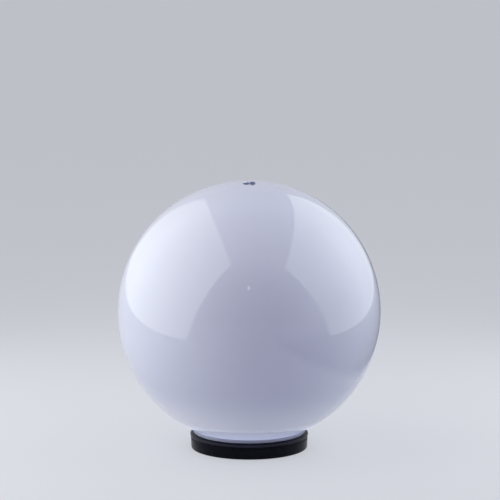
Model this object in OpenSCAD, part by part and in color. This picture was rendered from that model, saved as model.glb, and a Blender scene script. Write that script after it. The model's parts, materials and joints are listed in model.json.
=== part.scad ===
// Garden globe lantern that stands on a flat mounting face.
// An opal globe with a moulded screw neck stands in a low round base, and inside it a lamp stands in a
// porcelain holder on a bent steel bracket. Millimetres, +Z up, front towards -Y. The origin is the centre
// of the underside, where the foot gasket rests.

/* [Globe] */
// Outer diameter of the globe
globe_d = 200; // [180:5:250]
// Wall of the globe
globe_wall = 2.5; // [2:0.25:3.5]
// Wall of the neck
neck_wall = 3; // [2.5:0.25:3.5]
// Height above the rim at which the globe meets its neck
shoulder_rise = 0.8; // [0.7:0.05:1.2]
// Radius of the fillet between globe and neck
shoulder_fillet_r = 1; // [0.5:0.1:1.2]
// Diameter of the gate recess at the top of the globe
gate_d = 9.5; // [7:0.5:12]
// Depth of the gate recess below the pole
gate_depth = 0.6; // [0.4:0.1:0.8]
// Diameter of the moulding pip in the recess
pip_d = 3.2; // [2:0.2:4]

/* [Base] */
// Outer diameter of the base over its rolled lip
base_d = 90; // [89:0.5:100]
// Width of the rim, from the globe's neck to the outside of the lip
rim_w = 7; // [6.8:0.1:8]
// Height of the rim above the mounting face
base_h = 12.5; // [12.5:0.5:18]
// Thickness of the floor
floor_t = 2.2; // [2:0.2:2.8]
// Wall of the threaded ring that takes the neck
ring_wall = 2; // [1.6:0.2:2.4]
// Thickness of the deck between ring and lip
deck_t = 2.2; // [1.6:0.2:2.6]
// Radius of the rolled lip
lip_r = 1.8; // [1.4:0.1:2]
// Wall of the outer skirt at its foot
skirt_wall = 1.8; // [1.4:0.1:2.1]
// How far the skirt's foot lies inside its top
skirt_draft = 0.4; // [0.2:0.1:0.6]
// Height of the groove under the lip
groove_h = 0.7; // [0.4:0.1:1]
// Depth of the groove under the lip
groove_depth = 0.6; // [0.3:0.1:0.8]
// Number of stiffening ribs on the floor and behind the skirt
rib_count = 12; // [6:6:24]
// Thickness of the floor ribs
floor_rib_t = 1.6; // [1.2:0.2:2]
// Height of the floor ribs
floor_rib_h = 1.2; // [0.8:0.2:1.4]
// Thickness of the ribs behind the skirt
skirt_rib_t = 1.2; // [0.8:0.2:2]

/* [Fixing] */
// Diameter of the fixing holes
fixing_d = 5; // [4:0.5:5.5]
// Diameter of the circle that the fixing holes lie on
fixing_circle_d = 56; // [52:1:56]
// Height of the fixing bosses above the floor
fixing_boss_h = 1.6; // [1.4:0.2:3]
// Diameter of the fixing bosses
fixing_boss_d = 10; // [8:0.5:11]

/* [Seals] */
// Thickness of the foot gasket
foot_gasket_t = 1.2; // [1:0.2:2]
// Width of the foot gasket's ring
foot_gasket_w = 8.2; // [5:0.2:9]
// Height of the gasket on the rim at its outside, where the globe leaves room for it
rim_gasket_h = 2.6; // [2:0.1:3]
// Width of the gasket on the rim
rim_gasket_w = 3.1; // [2:0.1:3.6]
// Thickness of the ring cord in the neck
seal_d = 2.2; // [1.8:0.1:2.4]
// Bore of the cable grommet
grommet_bore_d = 8.4; // [6:0.2:9]
// Wall of the grommet
grommet_wall = 2.2; // [1.6:0.2:2.6]
// Width of the grommet's lips
grommet_lip_w = 2.2; // [1.6:0.2:2.6]

/* [Bracket] */
// Width of the bracket's steel strip
strip_w = 16; // [12:1:18]
// Thickness of the strip
strip_t = 1.2; // [1:0.1:1.6]
// Height of the bracket's web above its feet
bracket_rise = 6.5; // [6:0.5:12]
// Height of the bosses that carry the bracket
bracket_boss_h = 4.1; // [3.5:0.1:6]
// Diameter of the bosses that carry the bracket
bracket_boss_d = 8; // [7:0.5:9]
// How far each leg leans out towards its foot
leg_splay = 2; // [0.5:0.5:2]

/* [Lamp holder] */
// Diameter of the holder's foot
drum_d = 38; // [36:0.5:39]
// Height of the holder's foot
drum_h = 11.8; // [11.5:0.1:14]
// Diameter of the holder's barrel
barrel_d = 42; // [38:0.5:46]
// Wall of the screw shell
shell_t = 0.5; // [0.4:0.05:0.7]
// Thickness of the contact strips
contact_t = 0.6; // [0.5:0.05:0.8]
// Width of the contact strips
contact_w = 5; // [4:0.25:5.5]
// Distance between the two mounting screws of the holder
holder_screw_pitch = 19; // [18:0.5:19.5]

/* [Lamp] */
// Diameter of the lamp
lamp_d = 60; // [55:1:62]
// Length of the lamp over its contact
lamp_l = 108; // [104:1:118]
// Diameter of the lamp's screw cap over its thread
cap_d = 26.2; // [25.8:0.1:26.4]
// Length of the screw cap
cap_h = 19.5; // [18:0.5:22]
// Sheet of the screw cap
cap_t = 0.4; // [0.3:0.05:0.5]
// Wall of the lamp's plastic housing
lamp_wall = 1.6; // [1.2:0.1:2]
// Depth of the diffuser's seam below its centre
seam_drop = 16.2; // [14:0.2:19]
// Wall of the heat cup in the housing
heat_cup_t = 1; // [0.8:0.1:1.4]
// Thickness of the circuit boards
board_t = 1.2; // [1:0.1:1.6]
// Number of light chips on the board
chip_count = 12; // [8:1:16]

/* [Clearances] */
// Room between neck and threaded ring, which holds the two threads
thread_room = 1.4; // [1.2:0.1:1.6]
// Gap between the neck's end and the floor
neck_end_gap = 0.4; // [0.3:0.1:0.8]
// Room between the neck and what stands inside it
neck_room = 2; // [1.5:0.1:2.5]
// Gap between seals and what they press against
seal_gap = 0.1; // [0.05:0.05:0.2]
// Gap between parts that turn or slide past each other
running_gap = 0.3; // [0.2:0.05:0.4]
// Gap between parts that are assembled once
fit_gap = 0.2; // [0.1:0.05:0.3]
// Gap between the skirt's edge and the mounting face
skirt_gap = 0.4; // [0.2:0.1:0.8]

/* [Hidden] */
$fn = 96;
cut = 1;

// Base: radii and heights
neck_d = base_d - 2 * rim_w;
neck_r = neck_d / 2;
neck_in_r = neck_r - neck_wall;
bore_r = neck_r + thread_room;
ring_r = bore_r + ring_wall;
base_r = base_d / 2;
skirt_inset = 0.4;
skirt_top_r = base_r - skirt_inset;
skirt_foot_r = skirt_top_r - skirt_draft;
skirt_in_r = skirt_foot_r - skirt_wall;
skirt_edge_r = 0.6;
rim_z = base_h;
floor_z = foot_gasket_t;
floor_top = floor_z + floor_t;
lip_z = rim_z - lip_r;
groove_z = rim_z - 2 * lip_r - groove_h;
slot_top = rim_z - deck_t;
lead_in = 0.6;
rib_seat = 0.4;
skirt_rib_z = floor_z + rib_seat;

// Globe: the neck's top circle lies on the sphere
globe_r = globe_d / 2;
globe_in_r = globe_r - globe_wall;
globe_z = rim_z + shoulder_rise + sqrt(pow(globe_r, 2) - pow(neck_r, 2));
globe_top = globe_z + globe_r;
neck_end_z = floor_top + neck_end_gap;
pip_h = gate_depth - 0.1;

// Seals
seal_r = seal_d / 2;
seal_groove_r = seal_r + seal_gap;
seal_circle_r = bore_r - fit_gap - seal_r;
neck_land = 1.4;
seal_z = neck_end_z + neck_land + seal_groove_r;
rim_gasket_in_r = bore_r + seal_gap;
foot_gasket_r = skirt_in_r - fit_gap;
grommet_bore_r = grommet_bore_d / 2;
grommet_neck_r = grommet_bore_r + grommet_wall;
grommet_lip_r = grommet_neck_r + grommet_lip_w;
grommet_lip_t = 1;
grommet_top_lip_t = 1.2;
cable_hole_r = grommet_neck_r + seal_gap;

// Fastenings of the base
fixing_r = fixing_d / 2;
fixing_angles = [90, 210, 330];
rib_in_r = grommet_lip_r + 0.9;
rib_out_r = neck_in_r - 1;
small_shank_r = 1.6;
small_head_r = 3.3;
small_head_h = 2.2;
foot_edge = 4;
pilot_floor = 0.8;
tip_room = 0.6;

// Bracket: foot, leg and web of the bent strip, by the middle of its thickness
foot_reach = neck_in_r - neck_room;
bracket_screw_x = foot_reach - foot_edge;
boss_top = floor_top + bracket_boss_h;
foot_mid_z = boss_top + strip_t / 2;
foot_top = boss_top + strip_t;
web_mid_z = foot_mid_z + bracket_rise;
web_z = web_mid_z - strip_t / 2;
holder_z = web_z + strip_t;
leg_room = 2.1;
leg_foot_x = bracket_screw_x - small_head_r - leg_room - strip_t / 2;
leg_x = leg_foot_x - leg_splay;

// Lamp: heights from the contact tongue upwards
cavity_z = holder_z + drum_h;
tongue_rise = 2.9;
tongue_top = cavity_z + tongue_rise;
lamp_z = tongue_top + running_gap;
button_r = 4.8;
button_h = 0.9;
insulator_z = lamp_z + button_h + seal_gap;
insulator_h = 3.3;
insulator_nose_r = 6.5;
insulator_plug_h = 2;
cap_z = insulator_z + insulator_h;
cap_top = cap_z + cap_h;
cap_r = cap_d / 2;
cap_in_r = cap_r - cap_t;
lamp_r = lamp_d / 2;
lamp_mid_z = lamp_z + lamp_l - lamp_r;
seam_z = lamp_mid_z - seam_drop;
seam_r = sqrt(pow(lamp_r, 2) - pow(seam_drop, 2));
lamp_neck_r = cap_r + 1.4;
lamp_neck_h = 3;
flare_z = cap_top + lamp_neck_h;
flare_dx = seam_r - lamp_neck_r;
flare_dz = seam_z - flare_z;
flare_r = (pow(flare_dx, 2) + pow(flare_dz, 2)) / (2 * flare_dx);
flare_x = lamp_neck_r + flare_r;
spigot_r = cap_in_r - seal_gap;
spigot_in_r = spigot_r - lamp_wall;
spigot_h = 8;
led_board_z = seam_z - 1.5;
led_board_t = seam_z - led_board_z;
heat_cup_foot_z = flare_z + 3;
heat_cup_gap = 0.1;
board_half_w = spigot_in_r - fit_gap;
driver_z = cap_z + 5.5;
driver_l = 38;
capacitor_r = 3.2;
capacitor_h = 12;
capacitor_x = -1.5;
capacitor_rise = 4;
coil = [8, 6, 9];
coil_rise = 6;
bridge = [6, 2.4, 5];
bridge_rise = 1.5;
resistor_r = 1.2;
resistor_h = 4;
resistor_x = 5.5;
resistor_rise = 1;

// Lamp holder
drum_r = drum_d / 2;
shell_in_r = cap_r + running_gap;
shell_r = shell_in_r + shell_t;
shell_flange_r = 9.5;
cavity_r = shell_r + running_gap;
barrel_r = barrel_d / 2;
rim_room = 0.8;
holder_top = cap_top - rim_room;
shell_drop = 2.4;
shell_top = holder_top - shell_drop;
holder_round_r = 2;
holder_screw_x = holder_screw_pitch / 2;
holder_shank_r = 2;
holder_head_r = 3.8;
holder_head_h = 2.6;
nut_r = 4.04;
nut_h = 3;
nut_z = cavity_z - nut_h - fit_gap;

// Contacts and terminals, mirrored about the XZ plane where both sides have one
terminal_depth = 3.7;
plate_y = drum_r - terminal_depth;
plate_w = 8;
plate_z = holder_z + 2.4;
plate_top = plate_z + 6.4;
window_w = 11;
window_z = plate_z - 0.6;
window_top = cavity_z - fit_gap;
run_z = nut_z + 0.6;
contact_screw_y = 8;
contact_shank_r = 1.5;
contact_head_r = 2.45;
contact_head_h = 1.5;
contact_screw_l = 5.5;
slot_half_w = 3;
slot_out_y = plate_y + contact_t + 0.2;
terminal_z = holder_z + 5.8;
terminal_shank_r = 1.75;
terminal_head_r = 3;
terminal_head_h = 1.8;
terminal_tip_l = 3.5;
wire_room = 0.6;
clamp_y = plate_y + contact_t + wire_room;
clamp_t = 0.8;
clamp_w = 7;
terminal_head_y = clamp_y + clamp_t;

// Rectangle of a section between two radii and two heights
module band(r0, r1, z0, z1) {
    translate([r0, z0]) square([r1 - r0, z1 - z0]);
}

// The same with its two outer corners rounded
module round_band(r0, r1, z0, z1, edge_r) {
    band(r0, r1 - edge_r, z0, z1);
    band(r0, r1, z0 + edge_r, z1 - edge_r);
    translate([r1 - edge_r, z0 + edge_r]) circle(edge_r);
    translate([r1 - edge_r, z1 - edge_r]) circle(edge_r);
}

// The edge of a bent strip: straight runs between points, with round outer bends
module strip_edge(points, t) {
    for (i = [0:len(points) - 2]) {
        run = points[i + 1] - points[i];
        translate(points[i]) rotate(atan2(run[1], run[0])) translate([0, -t / 2]) square([norm(run), t]);
    }
    for (i = [1:len(points) - 2]) translate(points[i]) circle(d = t);
}

// Stands a section drawn in Y and Z up in space, w wide about the YZ plane
module across_x(w) {
    rotate([90, 0, 90]) linear_extrude(w, center = true) children();
}

// Screw with a slotted round head that stands on z = 0 and a shank below it
module screw(head_r, head_h, shank_r, shank_l) {
    head_edge_r = head_h * 0.4;
    slot_w = head_r * 0.3;
    difference() {
        rotate_extrude() {
            band(0, head_r, 0, head_h - head_edge_r);
            round_band(0, head_r, 0, head_h, head_edge_r);
            band(0, shank_r, -shank_l, head_h / 2);
        }
        translate([-head_r - cut, -slot_w / 2, head_h * 0.55]) cube([2 * (head_r + cut), slot_w, head_h]);
    }
}

// Opal globe with neck, seal groove and gate recess
module shoulder_fillet() {
    fillet_x = neck_r + shoulder_fillet_r;
    fillet_z = globe_z - sqrt(pow(globe_r + shoulder_fillet_r, 2) - pow(fillet_x, 2));
    share = shoulder_fillet_r / (globe_r + shoulder_fillet_r);
    touch_x = fillet_x * (1 - share);
    touch_z = fillet_z + (globe_z - fillet_z) * share;
    wall_x = neck_r - neck_wall / 2;
    difference() {
        polygon([[wall_x, fillet_z], [fillet_x, fillet_z], [touch_x, touch_z], [wall_x, touch_z]]);
        translate([fillet_x, fillet_z]) circle(shoulder_fillet_r);
    }
}

module globe() color("whitesmoke") {
    rotate_extrude() difference() {
        union() {
            intersection() {
                translate([0, globe_z]) circle(globe_r);
                band(0, globe_r + cut, neck_end_z, globe_top + cut);
            }
            band(neck_in_r, neck_r, neck_end_z, globe_z - sqrt(pow(globe_in_r, 2) - pow(neck_r, 2)));
            shoulder_fillet();
        }
        translate([0, globe_z]) circle(globe_in_r);
        band(-cut, neck_in_r, neck_end_z - cut, globe_z);
        translate([seal_circle_r, seal_z]) circle(seal_groove_r);
        difference() {
            band(-cut, gate_d / 2, globe_top - gate_depth, globe_top + cut);
            band(-cut, pip_d / 2, globe_top - gate_depth - cut, globe_top - gate_depth + pip_h);
        }
    }
}

// Rubber ring in the groove of the neck
module neck_seal() color("dimgray") {
    rotate_extrude() translate([seal_circle_r, seal_z]) circle(seal_r);
}

// Soft ring between the rim and the globe, hollowed to the globe's underside
module rim_gasket() color("lightsteelblue") {
    gasket_z = rim_z + seal_gap;
    rotate_extrude() difference() {
        band(rim_gasket_in_r, rim_gasket_in_r + rim_gasket_w, gasket_z, gasket_z + rim_gasket_h);
        translate([0, globe_z]) circle(globe_r + 2 * seal_gap);
    }
}

// Base: floor, threaded ring, deck with rolled lip, and skirt, turned in one section
module base_section() {
    band(cable_hole_r, ring_r, floor_z, floor_top);
    difference() {
        union() {
            band(bore_r, ring_r, floor_z, rim_z);
            band(bore_r, base_r - lip_r, slot_top, rim_z);
            translate([base_r - lip_r, lip_z]) circle(lip_r);
            translate([skirt_foot_r - skirt_edge_r, skirt_gap + skirt_edge_r]) circle(skirt_edge_r);
            polygon([
                [skirt_in_r, skirt_gap],
                [skirt_foot_r - skirt_edge_r, skirt_gap],
                [skirt_foot_r, skirt_gap + skirt_edge_r],
                [skirt_top_r, groove_z],
                [skirt_top_r - groove_depth, groove_z],
                [skirt_top_r - groove_depth, lip_z],
                [skirt_in_r, lip_z]
            ]);
        }
        polygon([
            [bore_r - cut, rim_z - lead_in - cut],
            [bore_r + lead_in + cut, rim_z + cut],
            [bore_r - cut, rim_z + cut]
        ]);
        band(ring_r, skirt_in_r, skirt_gap - cut, slot_top);
    }
}

module base_ribs() {
    rib_overlap = 0.3;
    for (i = [0:rib_count - 1]) rotate(i * 360 / rib_count) {
        translate([rib_in_r, -floor_rib_t / 2, floor_top - rib_overlap])
            cube([rib_out_r - rib_in_r, floor_rib_t, floor_rib_h + rib_overlap]);
        translate([ring_r - rib_overlap, -skirt_rib_t / 2, skirt_rib_z])
            cube([skirt_in_r - ring_r + 2 * rib_overlap, skirt_rib_t, slot_top - skirt_rib_z + rib_overlap]);
    }
}

module at_fixings() {
    for (angle = fixing_angles) rotate(angle) translate([fixing_circle_d / 2, 0, 0]) children();
}

// The bosses stay inside the neck, which comes down beside them
module fixing_bosses() {
    intersection() {
        at_fixings() translate([0, 0, floor_z]) cylinder(d = fixing_boss_d, h = floor_t + fixing_boss_h);
        cylinder(r = neck_in_r - running_gap, h = rim_z);
    }
}

module at_bracket_screws() {
    for (side = [-1, 1]) translate([side * bracket_screw_x, 0, 0]) children();
}

module base_housing() color("#14161d") {
    difference() {
        union() {
            rotate_extrude() base_section();
            base_ribs();
            fixing_bosses();
            at_bracket_screws() translate([0, 0, floor_z]) cylinder(d = bracket_boss_d, h = boss_top - floor_z);
        }
        at_fixings() translate([0, 0, floor_z - cut])
            cylinder(r = fixing_r, h = floor_t + fixing_boss_h + 2 * cut);
        at_bracket_screws() translate([0, 0, floor_z + pilot_floor])
            cylinder(r = small_shank_r + fit_gap, h = boss_top);
    }
}

// Ring under the floor and the ring wall that seals the base to the mounting face
module foot_gasket() color("#1d1f22") {
    rotate_extrude() band(foot_gasket_r - foot_gasket_w, foot_gasket_r, 0, foot_gasket_t);
}

// Grommet in the middle of the floor, where the supply cable comes in
module cable_grommet() color("#26282b") {
    lip_z0 = floor_z - grommet_lip_t;
    taper_z = floor_top + grommet_top_lip_t / 3;
    top_z = floor_top + grommet_top_lip_t;
    rotate_extrude() {
        band(grommet_bore_r, grommet_neck_r, lip_z0, top_z);
        band(grommet_bore_r, grommet_lip_r, lip_z0, floor_z);
        polygon([
            [grommet_bore_r, floor_top], [grommet_lip_r, floor_top], [grommet_lip_r, taper_z],
            [grommet_neck_r, top_z], [grommet_bore_r, top_z]
        ]);
    }
}

// Bent steel strip that carries the lamp holder over the wiring
module holder_bracket() color("silver") {
    bends = [
        [-foot_reach, foot_mid_z], [-leg_foot_x, foot_mid_z], [-leg_x, web_mid_z],
        [leg_x, web_mid_z], [leg_foot_x, foot_mid_z], [foot_reach, foot_mid_z]
    ];
    difference() {
        intersection() {
            rotate([90, 0, 0]) linear_extrude(strip_w, center = true) strip_edge(bends, strip_t);
            cylinder(r = foot_reach, h = holder_z + cut);
        }
        at_bracket_screws() cylinder(r = small_shank_r + 2 * fit_gap, h = foot_top + cut);
        at_holder_screws() translate([0, 0, web_z - cut]) cylinder(r = holder_shank_r + fit_gap, h = strip_t + 2 * cut);
    }
}

module bracket_screws() color("lightgray") {
    pilot_z = floor_z + pilot_floor;
    at_bracket_screws() translate([0, 0, foot_top])
        screw(small_head_r, small_head_h, small_shank_r, foot_top - pilot_z - tip_room);
}

// Porcelain lamp holder: foot with two terminal windows, barrel with the screw shell's cavity
module at_holder_screws() {
    for (side = [-1, 1]) translate([side * holder_screw_x, 0, 0]) children();
}

module on_both_terminals() {
    for (turn = [0, 180]) rotate(turn) children();
}

module holder_cavity() {
    rotate_extrude() {
        band(0, cavity_r, cavity_z, holder_top + cut);
        polygon([
            [cavity_r - cut, holder_top - 2 * cut], [cavity_r, holder_top - cut],
            [cavity_r + 2 * cut, holder_top + cut], [0, holder_top + cut]
        ]);
    }
}

module holder_slots() {
    inner_y = cavity_r - 1.2;
    slot_z = run_z - contact_t / 2;
    translate([-slot_half_w, -inner_y, slot_z])
        cube([2 * slot_half_w, 2 * inner_y, cavity_z - slot_z + cut]);
    translate([-slot_half_w, -slot_out_y, slot_z])
        cube([2 * slot_half_w, 2 * slot_out_y, cavity_z - seal_gap / 2 - slot_z]);
    on_both_terminals() {
        translate([-window_w / 2, plate_y, window_z])
            cube([window_w, drum_r - plate_y + cut, window_top - window_z]);
        translate([0, plate_y + cut, terminal_z]) rotate([90, 0, 0])
            cylinder(r = terminal_shank_r + 2 * fit_gap, h = terminal_tip_l + 2 * cut);
    }
    translate([0, contact_screw_y, slot_z - contact_screw_l - fit_gap])
        cylinder(r = contact_shank_r + fit_gap, h = contact_screw_l + cut);
}

module lampholder_body() color("ivory") {
    difference() {
        rotate_extrude() {
            round_band(0, drum_r, holder_z, cavity_z + holder_round_r, 0.8);
            round_band(0, barrel_r, cavity_z, holder_top, holder_round_r);
        }
        holder_cavity();
        holder_slots();
        at_holder_screws() {
            translate([0, 0, holder_z - cut]) cylinder(r = holder_shank_r + fit_gap, h = nut_z - holder_z + 2 * cut);
            translate([0, 0, nut_z]) cylinder(r = nut_r + fit_gap, h = cavity_z - nut_z + cut, $fn = 6);
        }
    }
}

// Brass shell that the lamp's cap screws into, with a flange on the cavity's floor
module screw_shell() color("gold") {
    rotate_extrude() {
        band(shell_in_r, shell_r, cavity_z, shell_top);
        band(shell_flange_r, shell_r, cavity_z, cavity_z + shell_t);
    }
}

module terminal_plate(top_z) {
    difference() {
        across_x(plate_w) band(plate_y, plate_y + contact_t, plate_z, plate_top);
        translate([0, plate_y - cut, terminal_z]) rotate([-90, 0, 0])
            cylinder(r = terminal_shank_r + fit_gap, h = contact_t + 2 * cut);
    }
    across_x(contact_w) band(plate_y, plate_y + contact_t, plate_top - cut / 2, top_z);
}

// Sprung strip from one terminal to the lamp's centre contact
module centre_contact() color("goldenrod") {
    tip_z = tongue_top - contact_t / 2;
    difference() {
        union() {
            terminal_plate(run_z + contact_t / 2);
            across_x(contact_w) strip_edge([
                [plate_y + contact_t / 2, run_z], [4.6, run_z], [1.6, tip_z], [-2.6, tip_z], [-3.8, tip_z - 1]
            ], contact_t);
        }
        translate([0, contact_screw_y, run_z - contact_t])
            cylinder(r = contact_shank_r + fit_gap, h = 2 * contact_t);
    }
}

// Strip from the other terminal to the underside of the screw shell's flange
module shell_contact() color("goldenrod") {
    shell_run_z = cavity_z - seal_gap - contact_t / 2;
    rotate(180) {
        terminal_plate(shell_run_z + contact_t / 2);
        across_x(contact_w) band(shell_flange_r + 0.5, plate_y + contact_t, shell_run_z - contact_t / 2,
            shell_run_z + contact_t / 2);
    }
}

module contact_screw() color("khaki") {
    translate([0, contact_screw_y, run_z + contact_t / 2])
        screw(contact_head_r, contact_head_h, contact_shank_r, contact_screw_l);
}

module terminal_clamps() color("lightgray") {
    on_both_terminals() difference() {
        translate([-clamp_w / 2, clamp_y, terminal_z - clamp_w / 2]) cube([clamp_w, clamp_t, clamp_w]);
        translate([0, clamp_y - cut, terminal_z]) rotate([-90, 0, 0])
            cylinder(r = terminal_shank_r + fit_gap, h = clamp_t + 2 * cut);
    }
}

module terminal_screws() color("khaki") {
    on_both_terminals() translate([0, terminal_head_y, terminal_z]) rotate([-90, 0, 0])
        screw(terminal_head_r, terminal_head_h, terminal_shank_r, terminal_head_y - plate_y + terminal_tip_l);
}

module holder_screws() color("lightgray") {
    at_holder_screws() translate([0, 0, web_z]) rotate([180, 0, 0])
        screw(holder_head_r, holder_head_h, holder_shank_r, cavity_z - 2 * fit_gap - web_z);
}

module holder_nuts() color("darkgray") {
    at_holder_screws() translate([0, 0, nut_z]) difference() {
        cylinder(r = nut_r, h = nut_h, $fn = 6);
        translate([0, 0, -cut]) cylinder(r = holder_shank_r + seal_gap, h = nut_h + 2 * cut);
    }
}

// Lamp: what lies on the axis side of its flared outline, set in by a given distance
module inside_flare(inset, z0, z1) {
    difference() {
        band(0, seam_r, z0, z1);
        translate([flare_x, flare_z]) circle(flare_r + inset);
    }
}

module bulb_contact() color("silver") {
    button_edge_r = button_h * 0.4;
    rotate_extrude() {
        band(0, button_r, lamp_z + button_h / 2, lamp_z + button_h);
        round_band(0, button_r, lamp_z, lamp_z + button_h, button_edge_r);
    }
}

module bulb_insulator() color("#202024") {
    plug_r = cap_in_r - seal_gap;
    rotate_extrude() polygon([
        [0, insulator_z], [insulator_nose_r, insulator_z], [plug_r, cap_z],
        [plug_r, cap_z + insulator_plug_h], [0, cap_z + insulator_plug_h]
    ]);
}

module bulb_cap() color("silver") {
    rotate_extrude() band(cap_in_r, cap_r, cap_z, cap_top);
}

module bulb_housing() color("white") {
    rotate_extrude() {
        band(spigot_in_r, spigot_r, cap_top - spigot_h, cap_top + lamp_wall);
        band(spigot_in_r, lamp_neck_r, cap_top, cap_top + lamp_wall);
        band(lamp_neck_r - lamp_wall, lamp_neck_r, cap_top, flare_z);
        difference() {
            inside_flare(0, flare_z, seam_z);
            inside_flare(lamp_wall, flare_z - cut, seam_z + cut);
        }
    }
}

module bulb_diffuser() color("white") {
    rotate_extrude() intersection() {
        difference() {
            translate([0, lamp_mid_z]) circle(lamp_r);
            translate([0, lamp_mid_z]) circle(lamp_r - lamp_wall);
        }
        band(0, lamp_r + cut, seam_z, lamp_mid_z + lamp_r + cut);
    }
}

// Metal cup that takes the board's heat into the housing
module heat_cup() color("silver") {
    outer_inset = lamp_wall + heat_cup_gap;
    inner_inset = outer_inset + heat_cup_t;
    rotate_extrude() difference() {
        inside_flare(outer_inset, heat_cup_foot_z, led_board_z);
        inside_flare(inner_inset, heat_cup_foot_z - cut, led_board_z - heat_cup_t);
    }
}

module led_board() color("white") {
    board_r = flare_x - sqrt(pow(flare_r + lamp_wall, 2) - pow(led_board_z - flare_z, 2)) - fit_gap;
    translate([0, 0, led_board_z]) cylinder(r = board_r, h = led_board_t);
}

module led_chips() color("khaki") {
    chip = [2.8, 3.5, 0.7];
    chip_ring_r = 15;
    for (i = [0:chip_count - 1]) rotate(i * 360 / chip_count)
        translate([chip_ring_r - chip[0] / 2, -chip[1] / 2, seam_z]) cube(chip);
}

module driver_board() color("seagreen") {
    translate([-board_half_w, -board_t / 2, driver_z]) cube([2 * board_half_w, board_t, driver_l]);
}

// Coil, capacitor, bridge and resistor on the two faces of the driver board
module driver_parts() color("dimgray") {
    face_y = board_t / 2;
    translate([capacitor_x, face_y + capacitor_r, flare_z + capacitor_rise])
        cylinder(r = capacitor_r, h = capacitor_h);
    translate([-coil[0] / 2, -face_y - coil[1], flare_z + coil_rise]) cube(coil);
    translate([-bridge[0] / 2, face_y, driver_z + bridge_rise]) cube(bridge);
    translate([resistor_x, -face_y - resistor_r, flare_z + resistor_rise])
        cylinder(r = resistor_r, h = resistor_h);
}

globe();
rim_gasket();
neck_seal();
base_housing();
foot_gasket();
cable_grommet();
holder_bracket();
bracket_screws();
lampholder_body();
screw_shell();
centre_contact();
shell_contact();
contact_screw();
terminal_clamps();
terminal_screws();
holder_screws();
holder_nuts();
bulb_cap();
bulb_insulator();
bulb_contact();
bulb_housing();
bulb_diffuser();
heat_cup();
led_board();
led_chips();
driver_board();
driver_parts();
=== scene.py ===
"""Dresses the garden globe lantern and stands it in a small studio.

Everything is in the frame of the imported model, in metres: +Z up, front towards -Y, and the origin in the
middle of the underside. Sizes of the pieces are written in millimetres and turned into metres where a mesh
is made, and those of the studio are in metres.
"""

import json
import logging
import math
from dataclasses import dataclass, field
from enum import Enum
from typing import Any, Iterable, Sequence

import bmesh
import bpy
from mathutils import Matrix, Vector, noise

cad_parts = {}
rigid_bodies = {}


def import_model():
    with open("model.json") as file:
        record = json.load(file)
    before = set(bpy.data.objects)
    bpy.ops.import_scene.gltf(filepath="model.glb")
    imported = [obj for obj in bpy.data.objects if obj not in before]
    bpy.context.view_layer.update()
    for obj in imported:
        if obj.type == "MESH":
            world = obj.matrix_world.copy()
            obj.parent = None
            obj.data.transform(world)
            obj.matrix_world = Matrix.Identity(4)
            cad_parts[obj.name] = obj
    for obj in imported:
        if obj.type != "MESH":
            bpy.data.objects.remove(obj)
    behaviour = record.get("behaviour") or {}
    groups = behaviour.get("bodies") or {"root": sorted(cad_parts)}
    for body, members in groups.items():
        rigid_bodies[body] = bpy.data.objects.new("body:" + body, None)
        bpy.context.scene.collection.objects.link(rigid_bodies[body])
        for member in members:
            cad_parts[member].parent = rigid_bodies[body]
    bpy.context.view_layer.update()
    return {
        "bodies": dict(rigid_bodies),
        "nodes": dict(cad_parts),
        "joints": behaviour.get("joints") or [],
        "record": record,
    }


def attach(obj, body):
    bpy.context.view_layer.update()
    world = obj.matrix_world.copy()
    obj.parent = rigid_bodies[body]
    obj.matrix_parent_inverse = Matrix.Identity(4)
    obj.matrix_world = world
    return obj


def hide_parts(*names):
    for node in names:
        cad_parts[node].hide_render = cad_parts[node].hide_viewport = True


LOG = logging.getLogger("garden_globe_lantern")
# A millimetre in metres, a length that counts as none, and the distance within which points are merged
MM = 0.001
TINY = 1e-6
WELD = 1e-7
# Angles in degrees: edges that stay sharp in the shading, edges that are rounded, corners too flat to round
SHARP_ANGLE = 32.0
SOFT_ANGLE = 38.0
STRAIGHT_ANGLE = 172.0
SIDES = (-1.0, 1.0)
# Pitch and depth of the rolled thread of lamp and shell in millimetres, and the crests of rolled and cut ones
LAMP_PITCH = 3.6286
ROLLED_DEPTH = -0.75
ROLLED_CREST = 0.6
CUT_CREST = 0.42

Point = tuple[float, float]
Triple = tuple[float, float, float]
Thing = bpy.types.Object
Inputs = dict[str | int, Any]


class Body(Enum):
    """The moving bodies that pieces ride on."""

    BASE = "base"
    RIM_GASKET = "rim_gasket"
    NECK_SEAL = "neck_seal"
    GLOBE = "globe"
    LAMP_CONTACT = "bulb_contact"
    LAMP = "bulb"


class Axis(Enum):
    """Main directions, by their place among the coordinates."""

    X = 0
    Y = 1
    Z = 2


class Grain(Enum):
    """Kinds of fine relief that a surface can have."""

    SPARK = "the fine even pitting of an eroded mould"
    BRUSHED = "fine lines in one direction"
    CAST = "soft irregular lumps"


class Cut(Enum):
    """What is done with a tool that meets a piece."""

    AWAY = "DIFFERENCE"
    ADD = "UNION"
    WITHIN = "INTERSECT"


class Drive(Enum):
    """Recess in a screw's head: number of slots, and their width and half length as shares of its radius."""

    SLOT = (1, 0.3, 1.2)
    CROSS = (2, 0.22, 0.62)


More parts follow.
